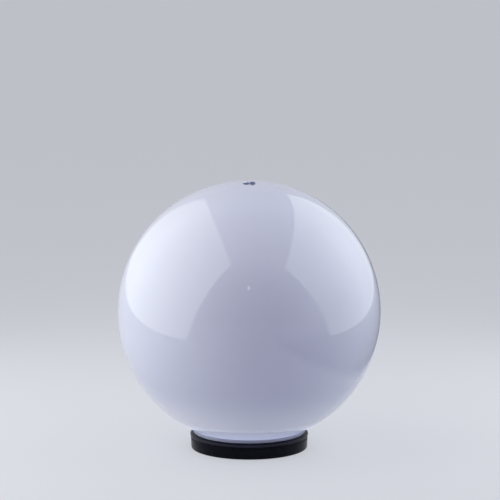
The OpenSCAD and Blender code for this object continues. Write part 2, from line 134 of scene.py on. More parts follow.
class Sock:
    """An output socket that adds Math nodes to its graph when it is used in arithmetic."""

    def __init__(self, graph: "Graph", socket: bpy.types.NodeSocket) -> None:
        """Wraps an output socket of a graph."""
        self.graph = graph
        self.socket = socket

    def math(self, operation: str, *others: "Sock | float") -> "Sock":
        """Adds a Math node whose first input is this socket."""
        return self.graph.math(operation, self, *others)

    def __add__(self, other: "Sock | float") -> "Sock":
        """Sum."""
        return self.math("ADD", other)

    __radd__ = __add__

    def __sub__(self, other: "Sock | float") -> "Sock":
        """Difference."""
        return self.math("SUBTRACT", other)

    def __rsub__(self, other: float) -> "Sock":
        """Difference from a number."""
        return self.graph.math("SUBTRACT", other, self)

    def __mul__(self, other: "Sock | float") -> "Sock":
        """Product."""
        return self.math("MULTIPLY", other)

    def __truediv__(self, other: "Sock | float") -> "Sock":
        """Quotient."""
        return self.math("DIVIDE", other)

    def __neg__(self) -> "Sock":
        """Opposite."""
        return self.math("MULTIPLY", -1.0)

    def ramp(self, low: "Sock | float", high: "Sock | float", start: float = 0.0, end: float = 1.0) -> "Sock":
        """Runs smoothly from one value to another while this socket runs between two limits."""
        return self.graph.out("ShaderNodeMapRange", 0, {"interpolation_type": "SMOOTHSTEP"}, {
            "Value": self, "From Min": low, "From Max": high, "To Min": start, "To Max": end})

    def step(self, low: float, high: float) -> "Sock":
        """Rises smoothly from 0 to 1 between two values, or falls if the first is the larger."""
        return self.ramp(low, high) if low < high else self.ramp(high, low, 1.0, 0.0)


class Graph:
    """A node tree that is built by methods: any node, with its settings first and then its inputs."""

    def __init__(self, tree: bpy.types.NodeTree) -> None:
        """Wraps a tree and empties it."""
        self.tree = tree
        tree.nodes.clear()

    def node(self, kind: str, settings: dict[str, Any] | None = None,
             inputs: Inputs | None = None) -> bpy.types.Node:
        """Adds a node.

        Args:
            kind: The node's type name.
            settings: Attributes to set before the inputs.
            inputs: Values or sockets for its inputs, by name or number. A colour gets its alpha here.

        Returns:
            The new node.
        """
        node = self.tree.nodes.new(kind)
        for name, value in (settings or {}).items():
            setattr(node, name, value)
        for key, value in (inputs or {}).items():
            slot = node.inputs[key]
            if isinstance(value, Sock):
                self.tree.links.new(value.socket, slot)
            else:
                slot.default_value = (*value, 1.0) if slot.type == "RGBA" else value
        return node

    def out(self, kind: str, output: str | int = 0, settings: dict[str, Any] | None = None,
            inputs: Inputs | None = None) -> Sock:
        """Adds a node and gives one of its outputs."""
        return Sock(self, self.node(kind, settings, inputs).outputs[output])

    def math(self, operation: str, *values: Sock | float) -> Sock:
        """Adds a Math node and gives its result."""
        return self.out("ShaderNodeMath", 0, {"operation": operation}, dict(enumerate(values)))

    def parts(self, vector: Sock) -> list[Sock]:
        """The X, Y and Z of a vector."""
        return [Sock(self, part) for part in self.node("ShaderNodeSeparateXYZ", inputs={0: vector}).outputs]

    def mixed(self, share: Sock | float, first: Sock, second: Sock) -> Sock:
        """Mixes two shaders by the share of the second."""
        return self.out("ShaderNodeMixShader", inputs={0: share, 1: first, 2: second})

    def rays(self, *kinds: str) -> Sock:
        """Tells some kinds of rays from all others.

        Args:
            kinds: Their names.

        Returns:
            1 for these rays and 0 for the others.
        """
        path = self.node("ShaderNodeLightPath")
        seen, *others = [Sock(self, path.outputs[f"Is {kind} Ray"]) for kind in kinds]
        for other in others:
            seen = seen.math("MAXIMUM", other)
        return seen


class Paint(Graph):
    """A material under construction."""

    def __init__(self, name: str) -> None:
        """Starts the material.

        Args:
            name: Its name.
        """
        self.material = bpy.data.materials.new(name)
        self.material.use_nodes = True
        super().__init__(self.material.node_tree)
        self.place = self.out("ShaderNodeTexCoord", "Object")

    def end(self, shader: Sock) -> bpy.types.Material:
        """Ends the material with a shader."""
        self.node("ShaderNodeOutputMaterial", inputs={"Surface": shader})
        return self.material

    def principled(self, **inputs: Any) -> bpy.types.Material:
        """Ends the material with a principled shader, whose inputs are named with underscores for spaces."""
        named = {name.replace("_", " "): value for name, value in inputs.items()}
        return self.end(self.out("ShaderNodeBsdfPrincipled", inputs=named))

    def noise(self, size: float, detail: float = 2.0, stretch: Triple = (1.0, 1.0, 1.0),
              roughness: float = 0.5) -> Sock:
        """A cloudy value about 0.5.

        Args:
            size: Size of the clouds in millimetres.
            detail: Number of finer layers.
            stretch: How much longer the clouds are along each axis.
            roughness: Share that the finer layers have.

        Returns:
            The value.
        """
        scale = tuple(1.0 / (size * MM * s) for s in stretch)
        spot = self.out("ShaderNodeMapping", inputs={"Vector": self.place, "Scale": scale})
        return self.out("ShaderNodeTexNoise", "Fac", inputs={
            "Vector": spot, "Scale": 1.0, "Detail": detail, "Roughness": roughness})

    def cells(self, size: float, output: str = "Distance") -> Sock:
        """One of the results of a pattern of irregular cells, whose size is in millimetres."""
        return self.out("ShaderNodeTexVoronoi", output, inputs={
            "Vector": self.place, "Scale": 1.0 / (size * MM)})

    def blend(self, share: Sock | float, first: Triple | Sock, second: Triple | Sock) -> Sock:
        """Mixes two colours by the share of the second."""
        return self.out("ShaderNodeMix", 2, {"data_type": "RGBA"}, {0: share, 6: first, 7: second})

    def relief(self, height: Sock, depth: float, **under: Sock) -> Sock:
        """Turns a height into a normal, with its depth in millimetres and the Normal under it, if any."""
        return self.out("ShaderNodeBump", "Normal", inputs={
            "Height": height, "Strength": 1.0, "Distance": depth * MM, **under})


def dimmed(colour: Triple, factor: float) -> Triple:
    """Scales a colour, to 1 at most."""
    return tuple(min(1.0, channel * factor) for channel in colour)


@dataclass(frozen=True)
class Finish:
    """What every finish has: the record's material slot, a linear colour and a roughness."""

    slot: str
    colour: Triple
    rough: float

    def material(self) -> bpy.types.Material:
        """The finish's material, made at its first use."""
        name = f"{self.slot}_finish"
        return bpy.data.materials.get(name) or self.paint(Paint(name))

    def paint(self, paint: Paint) -> bpy.types.Material:
        """Builds the nodes of the finish on a new material."""
        raise NotImplementedError


@dataclass(frozen=True)
class OpalFinish(Finish):
    """Glossy opal plastic, painted paler and glowing towards the neck to lift the shade that the base casts
    there, with dark torn pits where its sprue was broken off.

    Attributes:
        painted_light_colour: Paler colour towards the neck, where the wall is thickest: painted light that
            lifts the shade above the base.
        painted_light_z: Height below which all of the paler colour shows, and height above which none of it
            does, in millimetres.
        pits: X, Y and half widths along both of each pit, in millimetres.
        pit_z: Height above which the pits lie.
        pit_and_shade_colour: Dark colour of the pits: the torn plastic, painted darker with the shade of the
            gate recess.
        ragged: Size of the pits' torn edge.
        painted_glow: Colour of a painted glow near the neck, which lifts the shade that the base casts there.
        painted_glow_z: Height above which none of the glow shows, and height below which all of it does.
        wave: Size of the skin's waves, and their depth.
        ior: Refraction index.
    """

    painted_light_colour: Triple
    painted_light_z: Point
    pits: tuple[tuple[float, float, float, float], ...]
    pit_z: float
    pit_and_shade_colour: Triple
    ragged: float
    painted_glow: Triple
    painted_glow_z: Point
    wave: Point
    ior: float = 1.585

    def pitted(self, paint: Paint, x: Sock, y: Sock, z: Sock) -> Sock:
        """How far a spot lies in one of the pits.

        Args:
            paint: The new material.
            x: The spot's X.
            y: The spot's Y.
            z: The spot's height.

        Returns:
            1 in the pits and 0 on the skin.
        """
        edge = paint.noise(self.ragged, 3.0, roughness=0.7) * 0.9 - 0.45
        share = x * 0.0
        for at_x, at_y, half_x, half_y in self.pits:
            across = (x - at_x * MM) / (half_x * MM)
            along = (y - at_y * MM) / (half_y * MM)
            away = (across * across + along * along).math("SQRT") + edge
            share = share.math("MAXIMUM", away.step(1.15, 0.8))
        return share * z.math("GREATER_THAN", self.pit_z * MM)

    def paint(self, paint: Paint) -> bpy.types.Material:
        """Builds the nodes: cloudy milk painted paler towards the neck, smears in the gloss, the pits with
        their painted shade, and a painted glow near the neck.

        Args:
            paint: The new material.

        Returns:
            The finished material.
        """
        x, y, z = paint.parts(paint.place)
        black, pit = (0.0, 0.0, 0.0), self.pitted(paint, x, y, z)
        pale_full_z, pale_none_z, glow_none_z, glow_full_z = (height * MM for height in (*self.painted_light_z, *self.painted_glow_z))
        # Painted light: the colour turns paler towards the neck to lift the shade that the base casts there.
        milk_and_painted_light = paint.blend(z.step(pale_none_z, pale_full_z), self.colour, self.painted_light_colour)
        milk_and_painted_light = paint.blend(paint.noise(60.0).step(0.3, 0.7) * 0.015, milk_and_painted_light, black)
        smears = paint.noise(35.0, 3.0, roughness=0.6).step(0.35, 0.75)
        size, depth = self.wave
        return paint.principled(
            # Dark pits: torn plastic, painted darker with the shade of the gate recess.
            Base_Color=paint.blend(pit, milk_and_painted_light, self.pit_and_shade_colour),
            Roughness=smears * 0.01 + pit * 0.8 + self.rough,
            IOR=self.ior,
            # Painted glow near the neck, which lifts the same shade.
            Emission_Color=paint.blend(z.step(glow_none_z, glow_full_z), black, self.painted_glow),
            Emission_Strength=1.0,
            Normal=paint.relief(-pit, 0.5, Normal=paint.relief(paint.noise(size, 1.0), depth)),
        )


@dataclass(frozen=True)
class GrainedFinish(Finish):
    """A finish with a fine relief.

    Attributes:
        grain: Kind of relief.
        size: Size of the relief in millimetres.
        depth: Depth of the relief in millimetres.
    """

    grain: Grain
    size: float
    depth: float

    def bumped(self, paint: Paint, along: Axis = Axis.X) -> Sock:
        """The relief of the finish.

        Args:
            paint: The new material.
            along: Direction of brushed lines.

        Returns:
            The bumped normal.
        """
        if self.grain is Grain.SPARK:
            height = paint.noise(self.size, 4.0, roughness=0.7)
        elif self.grain is Grain.BRUSHED:
            height = paint.noise(self.size, 3.0, tuple(30.0 if axis is along else 1.0 for axis in Axis))
        else:
            height = paint.noise(self.size, 3.0) * 0.7 + paint.noise(self.size / 6) * 0.3
        return paint.relief(height, self.depth)


@dataclass(frozen=True)
class MouldedFinish(GrainedFinish):
    """Moulded plastic, rubber or silicone.

    Attributes:
        dust_and_highlight: Colour of the dust and wear that lies in its clouds, and of the painted highlight
            band where there is one.
        dusty: How strongly the dust shows.
        ior: Refraction index.
        gloss: Level of its mirror-like share, where 0.5 follows from the index alone.
        painted_lip_highlight: Height, half width and least radius of a pale band painted as the lip's
            highlight, in millimetres.
    """

    dust_and_highlight: Triple
    dusty: float = 0.2
    ior: float = 1.5
    gloss: float = 0.5
    painted_lip_highlight: Triple | None = None

    def paint(self, paint: Paint) -> bpy.types.Material:
        """Builds the nodes: base colour with dust and any painted highlight band, uneven gloss and relief.

        Args:
            paint: The new material.

        Returns:
            The finished material.
        """
        cloud = paint.noise(self.size * 40, 4.0, roughness=0.65)
        speck = paint.noise(self.size * 3).step(0.62, 0.78)
        share = (cloud.step(0.35, 0.8) * 0.7 + speck * 0.3) * self.dusty
        # Painted highlight: a pale band round the lip, in the dust colour.
        if self.painted_lip_highlight is not None:
            height, half, least = self.painted_lip_highlight
            x, y, z = paint.parts(paint.place)
            highlight_band = ((z - height * MM) / (half * MM)).math("ABSOLUTE").step(1.0, 0.3)
            outside = (x * x + y * y).math("SQRT").step((least - 0.5) * MM, least * MM)
            share = share + highlight_band * outside * (cloud * 0.1 + 0.2)
        return paint.principled(
            Base_Color=paint.blend(share, self.colour, self.dust_and_highlight),
            Roughness=cloud * 0.14 + (self.rough - 0.07),
            IOR=self.ior,
            Specular_IOR_Level=self.gloss,
            Normal=self.bumped(paint),
        )


@dataclass(frozen=True)
class MetalFinish(GrainedFinish):
    """Plated, drawn or turned metal.

    Attributes:
        tarnish: Colour of the dull patches.
        tarnished: How much of the surface they take, from 0 to 1.
        spangle: Size of crystals in the plating in millimetres, or 0 for none.
        along: Direction of brushed lines.
    """

    tarnish: Triple
    tarnished: float
    spangle: float = 0.0
    along: Axis = Axis.X

    def paint(self, paint: Paint) -> bpy.types.Material:
        """Builds the nodes: patches of tarnish, crystals if any, and lines.

        Args:
            paint: The new material.

        Returns:
            The finished material.
        """
        patch = paint.noise(9.0, 4.0, roughness=0.6).step(0.75 - 0.5 * self.tarnished, 0.85)
        colour = paint.blend(patch * 0.6, self.colour, self.tarnish)
        rough = patch * 0.22 + paint.noise(self.size * 4) * 0.06 + self.rough
        if self.spangle:
            crystal = paint.parts(paint.cells(self.spangle, "Color"))[0]
            colour = paint.blend(crystal * 0.35, colour, dimmed(self.colour, 0.7))
            rough = rough + crystal * 0.12
        return paint.principled(Base_Color=colour, Metallic=1.0, Roughness=rough,
                                Normal=self.bumped(paint, self.along))


@dataclass(frozen=True)
class GlazedFinish(Finish):
    """Glazed porcelain: a cream body under a clear pooled glaze.

    Attributes:
        pool: Size of the glaze's waves in millimetres, and their depth.
        fleck: Colour of the fine iron flecks.
        ior: Refraction index.
        glaze: Weight of the clear glaze over the body.
    """

    pool: Point
    fleck: Triple
    ior: float = 1.52
    glaze: float = 0.6

    def paint(self, paint: Paint) -> bpy.types.Material:
        """Builds the nodes: body, flecks and wavy glaze.

        Args:
            paint: The new material.

        Returns:
            The finished material.
        """
        flecks = paint.cells(2.6).step(0.09, 0.03) * paint.noise(5.0, 1.0).step(0.5, 0.6)
        body = paint.blend(paint.noise(14.0, 3.0), self.colour, dimmed(self.colour, 0.93))
        size, depth = self.pool
        return paint.principled(
            Base_Color=paint.blend(flecks * 0.6, body, self.fleck),
            Roughness=paint.noise(6.0) * 0.08 + self.rough,
            IOR=self.ior,
            Coat_Weight=self.glaze,
            Coat_Roughness=0.04,
            Normal=paint.relief(paint.noise(size), depth),
        )


# The globe's paler neck colour and its glow are painted light; its dark pits carry painted shade.
OPAL = OpalFinish(
    "opal_acrylic", (0.64, 0.65, 0.765), 0.012, painted_light_colour=(0.93, 0.94, 0.99), painted_light_z=(14.0, 62.0),
    pits=((-2.0, -3.8, 2.7, 5.2), (2.4, -3.2, 2.2, 6.8)), pit_z=203.5, pit_and_shade_colour=(0.08, 0.10, 0.20),
    ragged=1.3, painted_glow=(0.19, 0.213, 0.31), painted_glow_z=(30.0, 15.0), wave=(38.0, 0.05))
SILICONE = MouldedFinish(
    "gasket_silicone", (0.375, 0.385, 0.47), 0.42, Grain.CAST, 0.6, 0.01, (0.5, 0.5, 0.56), 0.2, 1.41)
RUBBER = MouldedFinish("seal_rubber", (0.012, 0.012, 0.013), 0.55, Grain.CAST, 0.5, 0.012, (0.16, 0.15, 0.14))
# The pale band at 10.9 mm is a painted highlight on the rolled lip.
BLACK_PLASTIC = MouldedFinish(
    "base_plastic", (0.0025, 0.003, 0.007), 0.28, Grain.SPARK, 0.35, 0.006, (0.10, 0.10, 0.14), 0.04, 1.45,
    gloss=0.09, painted_lip_highlight=(10.9, 1.4, 44.2))
ZINC_STRIP = MetalFinish(
    "bracket_steel", (0.62, 0.63, 0.65), 0.30, Grain.BRUSHED, 0.35, 0.006, (0.38, 0.36, 0.33), 0.4,
    spangle=2.4)
ZINC_SCREW = MetalFinish(
    "screw_steel", (0.66, 0.67, 0.68), 0.24, Grain.SPARK, 0.25, 0.004, (0.42, 0.38, 0.30), 0.35)
PORCELAIN = GlazedFinish("porcelain", (0.80, 0.78, 0.72), 0.10, (7.0, 0.06), (0.30, 0.22, 0.16))
SHELL_BRASS = MetalFinish(
    "shell_brass", (0.80, 0.60, 0.27), 0.22, Grain.BRUSHED, 0.3, 0.004, (0.42, 0.27, 0.12), 0.5, along=Axis.Z)
BRONZE = MetalFinish(
    "contact_bronze", (0.78, 0.50, 0.26), 0.25, Grain.BRUSHED, 0.3, 0.004, (0.40, 0.23, 0.12), 0.5,
    along=Axis.Y)
TERMINAL_BRASS = MetalFinish(
    "terminal_brass", (0.78, 0.64, 0.33), 0.26, Grain.SPARK, 0.25, 0.004, (0.44, 0.32, 0.16), 0.4)
NICKEL = MetalFinish(
    "cap_nickel", (0.72, 0.70, 0.66), 0.18, Grain.BRUSHED, 0.25, 0.003, (0.46, 0.42, 0.36), 0.35,
    along=Axis.Z)
CAP_GLASS = MouldedFinish(
    "cap_insulator", (0.012, 0.011, 0.016), 0.14, Grain.CAST, 1.2, 0.05, (0.08, 0.07, 0.08), 0.1)
TIN = MetalFinish("contact_tin", (0.66, 0.66, 0.68), 0.30, Grain.CAST, 2.2, 0.12, (0.40, 0.39, 0.38), 0.5)
LAMP_PLASTIC = MouldedFinish(
    "lamp_plastic", (0.82, 0.82, 0.80), 0.32, Grain.SPARK, 0.3, 0.004, (0.62, 0.60, 0.55))
DIFFUSER = MouldedFinish(
    "lamp_diffuser", (0.86, 0.86, 0.83), 0.38, Grain.SPARK, 0.22, 0.006, (0.74, 0.73, 0.68), 0.15)
ALUMINIUM = MetalFinish(
    "cup_aluminium", (0.78, 0.79, 0.80), 0.30, Grain.BRUSHED, 0.3, 0.005, (0.52, 0.52, 0.53), 0.3,
    along=Axis.Z)
BOARD_WHITE = MouldedFinish(
    "board_white", (0.80, 0.81, 0.79), 0.30, Grain.CAST, 0.5, 0.01, (0.5, 0.42, 0.25), 0.12)
PHOSPHOR = MouldedFinish(
    "chip_phosphor", (0.86, 0.66, 0.16), 0.35, Grain.SPARK, 0.15, 0.02, (0.7, 0.42, 0.05), 0.4)
BOARD_GREEN = MouldedFinish(
    "board_green", (0.02, 0.16, 0.07), 0.28, Grain.SPARK, 0.4, 0.008, (0.10, 0.30, 0.12), 0.3)
DRIVER_DARK = MouldedFinish(
    "driver_dark", (0.02, 0.02, 0.024), 0.38, Grain.SPARK, 0.25, 0.006, (0.2, 0.2, 0.2), 0.12)


def linked(name: str, data: bpy.types.ID) -> Thing:
    """Makes an object in the scene.

    Args:
        name: Name of the object.
        data: Its mesh or camera.

    Returns:
        The object.
    """
    thing = bpy.data.objects.new(name, data)
    bpy.context.scene.collection.objects.link(thing)
    return thing


def mesh_object(name: str, points: Iterable[Sequence[float]], faces: Iterable[Sequence[int]]) -> Thing:
    """Makes an object of points and faces.

    Args:
        name: Name of the object.
        points: Points in metres.
        faces: Faces as lists of point numbers.

    Returns:
        The object.
    """
    mesh = bpy.data.meshes.new(name)
    mesh.from_pydata([tuple(point) for point in points], [], [tuple(face) for face in faces])
    mesh.validate()
    return linked(name, mesh)


def closed(name: str, points: Iterable[Sequence[float]], faces: Iterable[Sequence[int]]) -> Thing:
    """Makes a closed piece, with every face turned outwards.

    Args:
        name: Name of the piece.
        points: Points in metres.
        faces: Faces as lists of point numbers.

    Returns:
        The piece.
    """
    thing = mesh_object(name, points, faces)
    work = bmesh.new()
    work.from_mesh(thing.data)
    bmesh.ops.remove_doubles(work, verts=work.verts, dist=WELD)
    bmesh.ops.recalc_face_normals(work, faces=work.faces)
    work.to_mesh(thing.data)
    work.free()
    return thing


def rectangle(low: Point, high: Point) -> list[Point]:
    """Corners of a rectangle, anticlockwise from the lowest."""
    return [low, (high[0], low[1]), high, (low[0], high[1])]


def circle(x: float, y: float, radius: float, sides: int) -> list[Point]:
    """Points of a circle or a regular polygon about a centre."""
    angles = [math.tau * k / sides for k in range(sides)]
    return [(x + radius * math.cos(angle), y + radius * math.sin(angle)) for angle in angles]


def thirds(radius: float, start: float) -> list[Point]:
    """Three places on a circle about the axis, from a first angle in degrees."""
    angles = [math.radians(start + turn) for turn in (0.0, 120.0, 240.0)]
    return [(radius * math.cos(angle), radius * math.sin(angle)) for angle in angles]


def staged(name: str, points: Iterable[Sequence[float]], faces: Iterable[Sequence[int]],
           material: bpy.types.Material, *unseen: str) -> None:
    """Makes a thing of the studio.

    Args:
        name: Its name.
        points: Points in metres.
        faces: Faces as lists of point numbers.
        material: Its material.
        unseen: Kinds of rays that pass it by.
    """
    thing = mesh_object(name, points, faces)
    thing.data.materials.append(material)
    for kind in unseen:
        setattr(thing, f"visible_{kind}", False)


@dataclass(frozen=True)
class Camera:
    """The camera, placed as the photograph's was.

    Attributes:
        distance: From the globe's centre, in metres.
        elevation: Above the globe's centre, in degrees.
        pitch: How far it looks down, in degrees.
        aside: How far it stands to the right, in metres.
        lens: Focal length in millimetres.
        sensor: Width of its sensor in millimetres.
        clip: Farthest distance that it sees, in metres.
    """

    distance: float = 4.0
    elevation: float = 12.0
    pitch: float = 11.331
    aside: float = 0.0006
    lens: float = 378.6
    sensor: float = 36.0
    clip: float = 50.0

    def build(self, aim_z: float) -> None:
        """Makes the camera the scene's own.

        Args:
            aim_z: Height of the globe's centre in metres.
        """
        data = bpy.data.cameras.new("camera")
        data.lens = self.lens
        data.sensor_width = self.sensor
        data.clip_end = self.clip
        camera = linked("camera", data)
        up = math.radians(self.elevation)
        camera.location = (self.aside, -self.distance * math.cos(up), aim_z + self.distance * math.sin(up))
        camera.rotation_euler = (math.radians(90.0 - self.pitch), 0.0, 0.0)
        bpy.context.scene.camera = camera


@dataclass(frozen=True)
class SoftPanel:
    """A curved softbox about the globe's centre, hidden from the camera.

    Attributes:
        name: Name of the panel.
        corners: Azimuth from the front and elevation of its corners in degrees: the upper one near the
            camera, the upper one behind the lantern, and the two under them.
        radiance: Strength of its light, where 1 is white.
        tint: Colour of its light.
        back: Share of its strength that is left behind the lantern.
        crown: How many times its strength it has at its top.
        fade: Places on Y between which the strength falls off, in metres.
        rise: Places on Z between which the strength rises, in metres.
        radius: Distance from the globe's centre in metres.
        steps: Number of faces along each side.
    """

    name: str
    corners: tuple[Point, Point, Point, Point]
    radiance: float
    tint: Triple
    back: float = 0.62
    crown: float = 1.0
    fade: Point = (0.15, 0.36)
    rise: Point = (0.10, 0.36)
    radius: float = 0.47
    steps: int = 24

    def build(self, centre: Vector) -> None:
        """Makes the panel as a patch of a sphere.

        Args:
            centre: The globe's centre.
        """
        ends = []
        for azimuth, elevation in self.corners:
            side, up = math.radians(azimuth), math.radians(elevation)
            ray = Vector((math.sin(side) * math.cos(up), -math.cos(side) * math.cos(up), math.sin(up)))
            ends.append(centre + ray * self.radius)
        shares = [k / self.steps for k in range(self.steps + 1)]
        points = []
        for share in shares:
            top, low = ends[0].lerp(ends[1], share), ends[2].lerp(ends[3], share)
            rays = [(top.lerp(low, down) - centre).normalized() for down in shares]
            points += [centre + ray * self.radius for ray in rays]
        row = self.steps + 1
        firsts = [i * row + j for i in range(self.steps) for j in range(self.steps)]
        faces = [(first, first + 1, first + row + 1, first + row) for first in firsts]
        paint = Paint(self.name)
        _, y, z = paint.parts(paint.place)
        strength = (1.0 - y.step(*self.fade) * (1.0 - self.back)) * self.radiance
        strength = strength * (z.step(*self.rise) * (self.crown - 1.0) + 1.0)
        glow = paint.out("ShaderNodeEmission", inputs={"Color": self.tint, "Strength": strength})
        staged(self.name, points, faces, paint.end(glow), "camera", "shadow")


@dataclass(frozen=True)
class DarkCard:
    """A dark card that lies on the floor to the right of the lantern and shows in its gloss alone. In metres.

    Attributes:
        low: Its corner in front, nearest the lantern.
        high: Its far corner.
        lift: Its height above the floor.
        near: Places on X between which it grows dark.
        far: Places on X between which it fades away from the lantern.
        front: Places on Y between which it grows dark.
        dark: How dark it is at most, from 0 to 1.
        faded: Share of the darkness that it loses far away.
    """

    low: Point = (0.13, -0.65)
    high: Point = (2.5, 3.0)
    lift: float = 0.0005
    near: Point = (0.14, 0.18)
    far: Point = (0.35, 1.2)
    front: Point = (-0.6, -0.1)
    dark: float = 0.9
    faded: float = 0.7

    def build(self) -> None:
        """Lays the card down."""
        paint = Paint("dark_card")
        x, y, _ = paint.parts(paint.place)
        share = x.step(*self.near) * y.step(*self.front) * (1.0 - x.step(*self.far) * self.faded) * self.dark
        clear = paint.out("ShaderNodeBsdfTransparent")
        black = paint.out("ShaderNodeEmission", inputs={"Strength": 0.0})
        corners = [(*corner, self.lift) for corner in rectangle(self.low, self.high)]
        staged("dark_card", corners, [range(4)], paint.end(paint.mixed(share, clear, black)),
               "camera", "diffuse", "shadow")


@dataclass(frozen=True)
class Studio:
    """Floor, light and camera.

    Attributes:
        floor_colour: Colour of the floor for the light that it scatters.
        seen_colour: Colour of the floor and the backdrop as the camera and reflections see them.
        seen_share: How much of the seen colour is laid over the floor's own shading.
        fill: Radiance of the world's light on the object.
        fill_tint: Colour of that light.
        dims: Ends of the room that show darker in the gloss: the two Y of a direction between which each
            grows dark, and how dark it is.
        reach: Half width of the floor in metres.
        panels: The softboxes.
        card: The dark card.
        camera: The camera.
    """

    floor_colour: Triple = (0.62, 0.63, 0.69)
    seen_colour: Triple = (0.75, 0.77, 0.80)
    seen_share: float = 0.6
    fill: float = 0.36
    fill_tint: Triple = (0.72, 0.70, 1.0)
    dims: tuple[Triple, ...] = ((-0.4, -0.85, 0.6), (0.45, 0.8, 0.3))
    reach: float = 30.0
    panels: tuple[SoftPanel, ...] = (
        SoftPanel("softbox_left", ((-19.8, 48.0), (-154.5, 42.6), (-50.2, -12.6), (-150.0, 3.4)), 1.83,
                  (0.97, 1.0, 0.98)),
        SoftPanel("softbox_right", ((37.1, 42.5), (161.2, 39.5), (67.7, -11.6), (147.7, 0.6)), 1.28,
                  (0.94, 0.99, 1.0), back=0.7, crown=1.5),
        SoftPanel("glint", ((-1.5, 31.3), (0.7, 31.3), (-1.5, 28.6), (0.7, 28.6)), 3.2, (1.0, 1.0, 1.0)),
    )
    card: DarkCard = DarkCard()
    camera: Camera = Camera()

    def seen_directly(self, graph: Graph) -> Sock:
        """1 for camera, glossy and transmission rays, 0 for the light that the object receives."""
        return graph.rays("Camera", "Glossy", "Transmission")

    def build_floor(self) -> None:
        """Makes the floor: pale and plain, with the object's shadow on it."""
        paint = Paint("floor")
        scatter = paint.out("ShaderNodeBsdfDiffuse", inputs={"Color": self.floor_colour})
        glow = paint.out("ShaderNodeEmission", inputs={"Color": self.seen_colour, "Strength": 1.0})
        both = paint.mixed(self.seen_directly(paint) * self.seen_share, scatter, glow)
        far = self.reach
        corners = [(*corner, 0.0) for corner in rectangle((-far, -far), (far, far))]
        staged("floor", corners, [range(4)], paint.end(both))

    def build_world(self) -> None:
        """Makes the world: a pale backdrop for what sees it, and a soft fill for the object."""
        world = bpy.data.worlds.new("studio")
        bpy.context.scene.world = world
        world.use_nodes = True
        graph = Graph(world.node_tree)
        y = graph.parts(graph.out("ShaderNodeTexCoord", "Generated"))[1]
        dark = sum(y.step(low, high) * share for low, high, share in self.dims)
        fill = graph.out("ShaderNodeBackground", inputs={"Color": self.fill_tint, "Strength": self.fill})
        seen = graph.out("ShaderNodeBackground", inputs={
            "Color": self.seen_colour, "Strength": 1.0 - dark * graph.rays("Glossy")})
        both = graph.mixed(self.seen_directly(graph), fill, seen)
        graph.node("ShaderNodeOutputWorld", inputs={"Surface": both})

    def build(self, centre: Vector) -> None:
        """Builds the studio.

        Args:
            centre: The globe's centre.
        """
        bpy.context.scene.view_settings.view_transform = "Standard"
        self.build_floor()
        self.build_world()
        for panel in self.panels:
            panel.build(centre)
        self.card.build()
        self.camera.build(centre.z)


@dataclass
class Outline:
    """A section of radius and height in millimetres, drawn round the material point by point.

    Attributes:
        points: Radius and height of each corner, and the radius of its rounding.
    """

    points: list[Triple] = field(default_factory=list)

    def to(self, r: float, z: float, fillet: float = 0.0) -> "Outline":
        """Adds a corner at a radius and a height, with the radius of its rounding."""
        self.points.append((r, z, fillet))
        return self

    def arc(self, r: float, z: float, radius: float, start: float, end: float, steps: int) -> "Outline":
        """Adds an arc.

        Args:
            r: Radius at which the arc's centre lies.
            z: Height of its centre.
            radius: Its radius.
            start: Angle of its first point in degrees, from outwards, anticlockwise.
            end: Angle of its last point.
            steps: Number of steps between them.

        Returns:
            The outline.
        """
        for i in range(steps + 1):
            angle = math.radians(start + (end - start) * i / steps)
            self.to(max(r + radius * math.cos(angle), 0.0), z + radius * math.sin(angle))
        return self

    def run(self, r: float, z: float, step: float) -> "Outline":
        """Adds a straight run from the last point in short steps.

        Args:
            r: Radius of its end.
            z: Height of its end.
            step: Longest step.

        Returns:
            The outline.
        """
        r0, z0, _ = self.points[-1]
        count = max(1, math.ceil(math.hypot(r - r0, z - z0) / step))
        for i in range(1, count + 1):
            self.to(r0 + (r - r0) * i / count, z0 + (z - z0) * i / count)
        return self

    def rounded(self, steps: int = 4) -> list[Point]:
        """The outline's points, with its corners rounded.

        Args:
            steps: Number of steps in each rounding.

        Returns:
            Points of radius and height.
        """
        result: list[Point] = []
        for i, (r, z, fillet) in enumerate(self.points):
            here = Vector((r, z))
            back = Vector(self.points[i - 1][:2]) - here
            ahead = Vector(self.points[(i + 1) % len(self.points)][:2]) - here
            sharp = fillet <= 0.0 or min(back.length, ahead.length) < TINY
            if sharp or back.angle(ahead) > math.radians(STRAIGHT_ANGLE):
                result.append((r, z))
                continue
            half = back.angle(ahead) / 2
            reach = min(fillet / math.tan(half), back.length * 0.48, ahead.length * 0.48)
            radius = reach * math.tan(half)
            middle = here + (back.normalized() + ahead.normalized()).normalized() * (radius / math.sin(half))
            start = here + back.normalized() * reach - middle
            sweep = start.angle_signed(here + ahead.normalized() * reach - middle)
            for k in range(steps + 1):
                spoke = Matrix.Rotation(-sweep * k / steps, 2) @ start
                result.append((middle.x + spoke.x, middle.y + spoke.y))
        return result

    def turned(self, name: str, segments: int, steps: int = 4) -> Thing:
        """Turns the outline about the Z axis. It is closed into a loop unless it starts and ends on the axis.

        Args:
            name: Name of the piece.
            segments: Number of steps round the axis.
            steps: Number of steps in each rounding.

        Returns:
            The closed piece.
        """
        section = self.rounded(steps)
        spokes = circle(0.0, 0.0, 1.0, segments)
        points: list[Triple] = []
        rings: list[list[int]] = []
        for r, z in section:
            pole = r < TINY
            first = len(points)
            rings.append([first] * segments if pole else list(range(first, first + segments)))
            points += [(0.0, 0.0, z * MM)] if pole else [(r * MM * c, r * MM * s, z * MM) for c, s in spokes]
        if section[0][0] > TINY:
            rings.append(rings[0])
        faces = []
        for low, high in zip(rings, rings[1:]):
            for k in range(segments):
                n = (k + 1) % segments
                face = list(dict.fromkeys((low[k], low[n], high[n], high[k])))
                if len(face) > 2:
                    faces.append(face)
        return closed(name, points, faces)


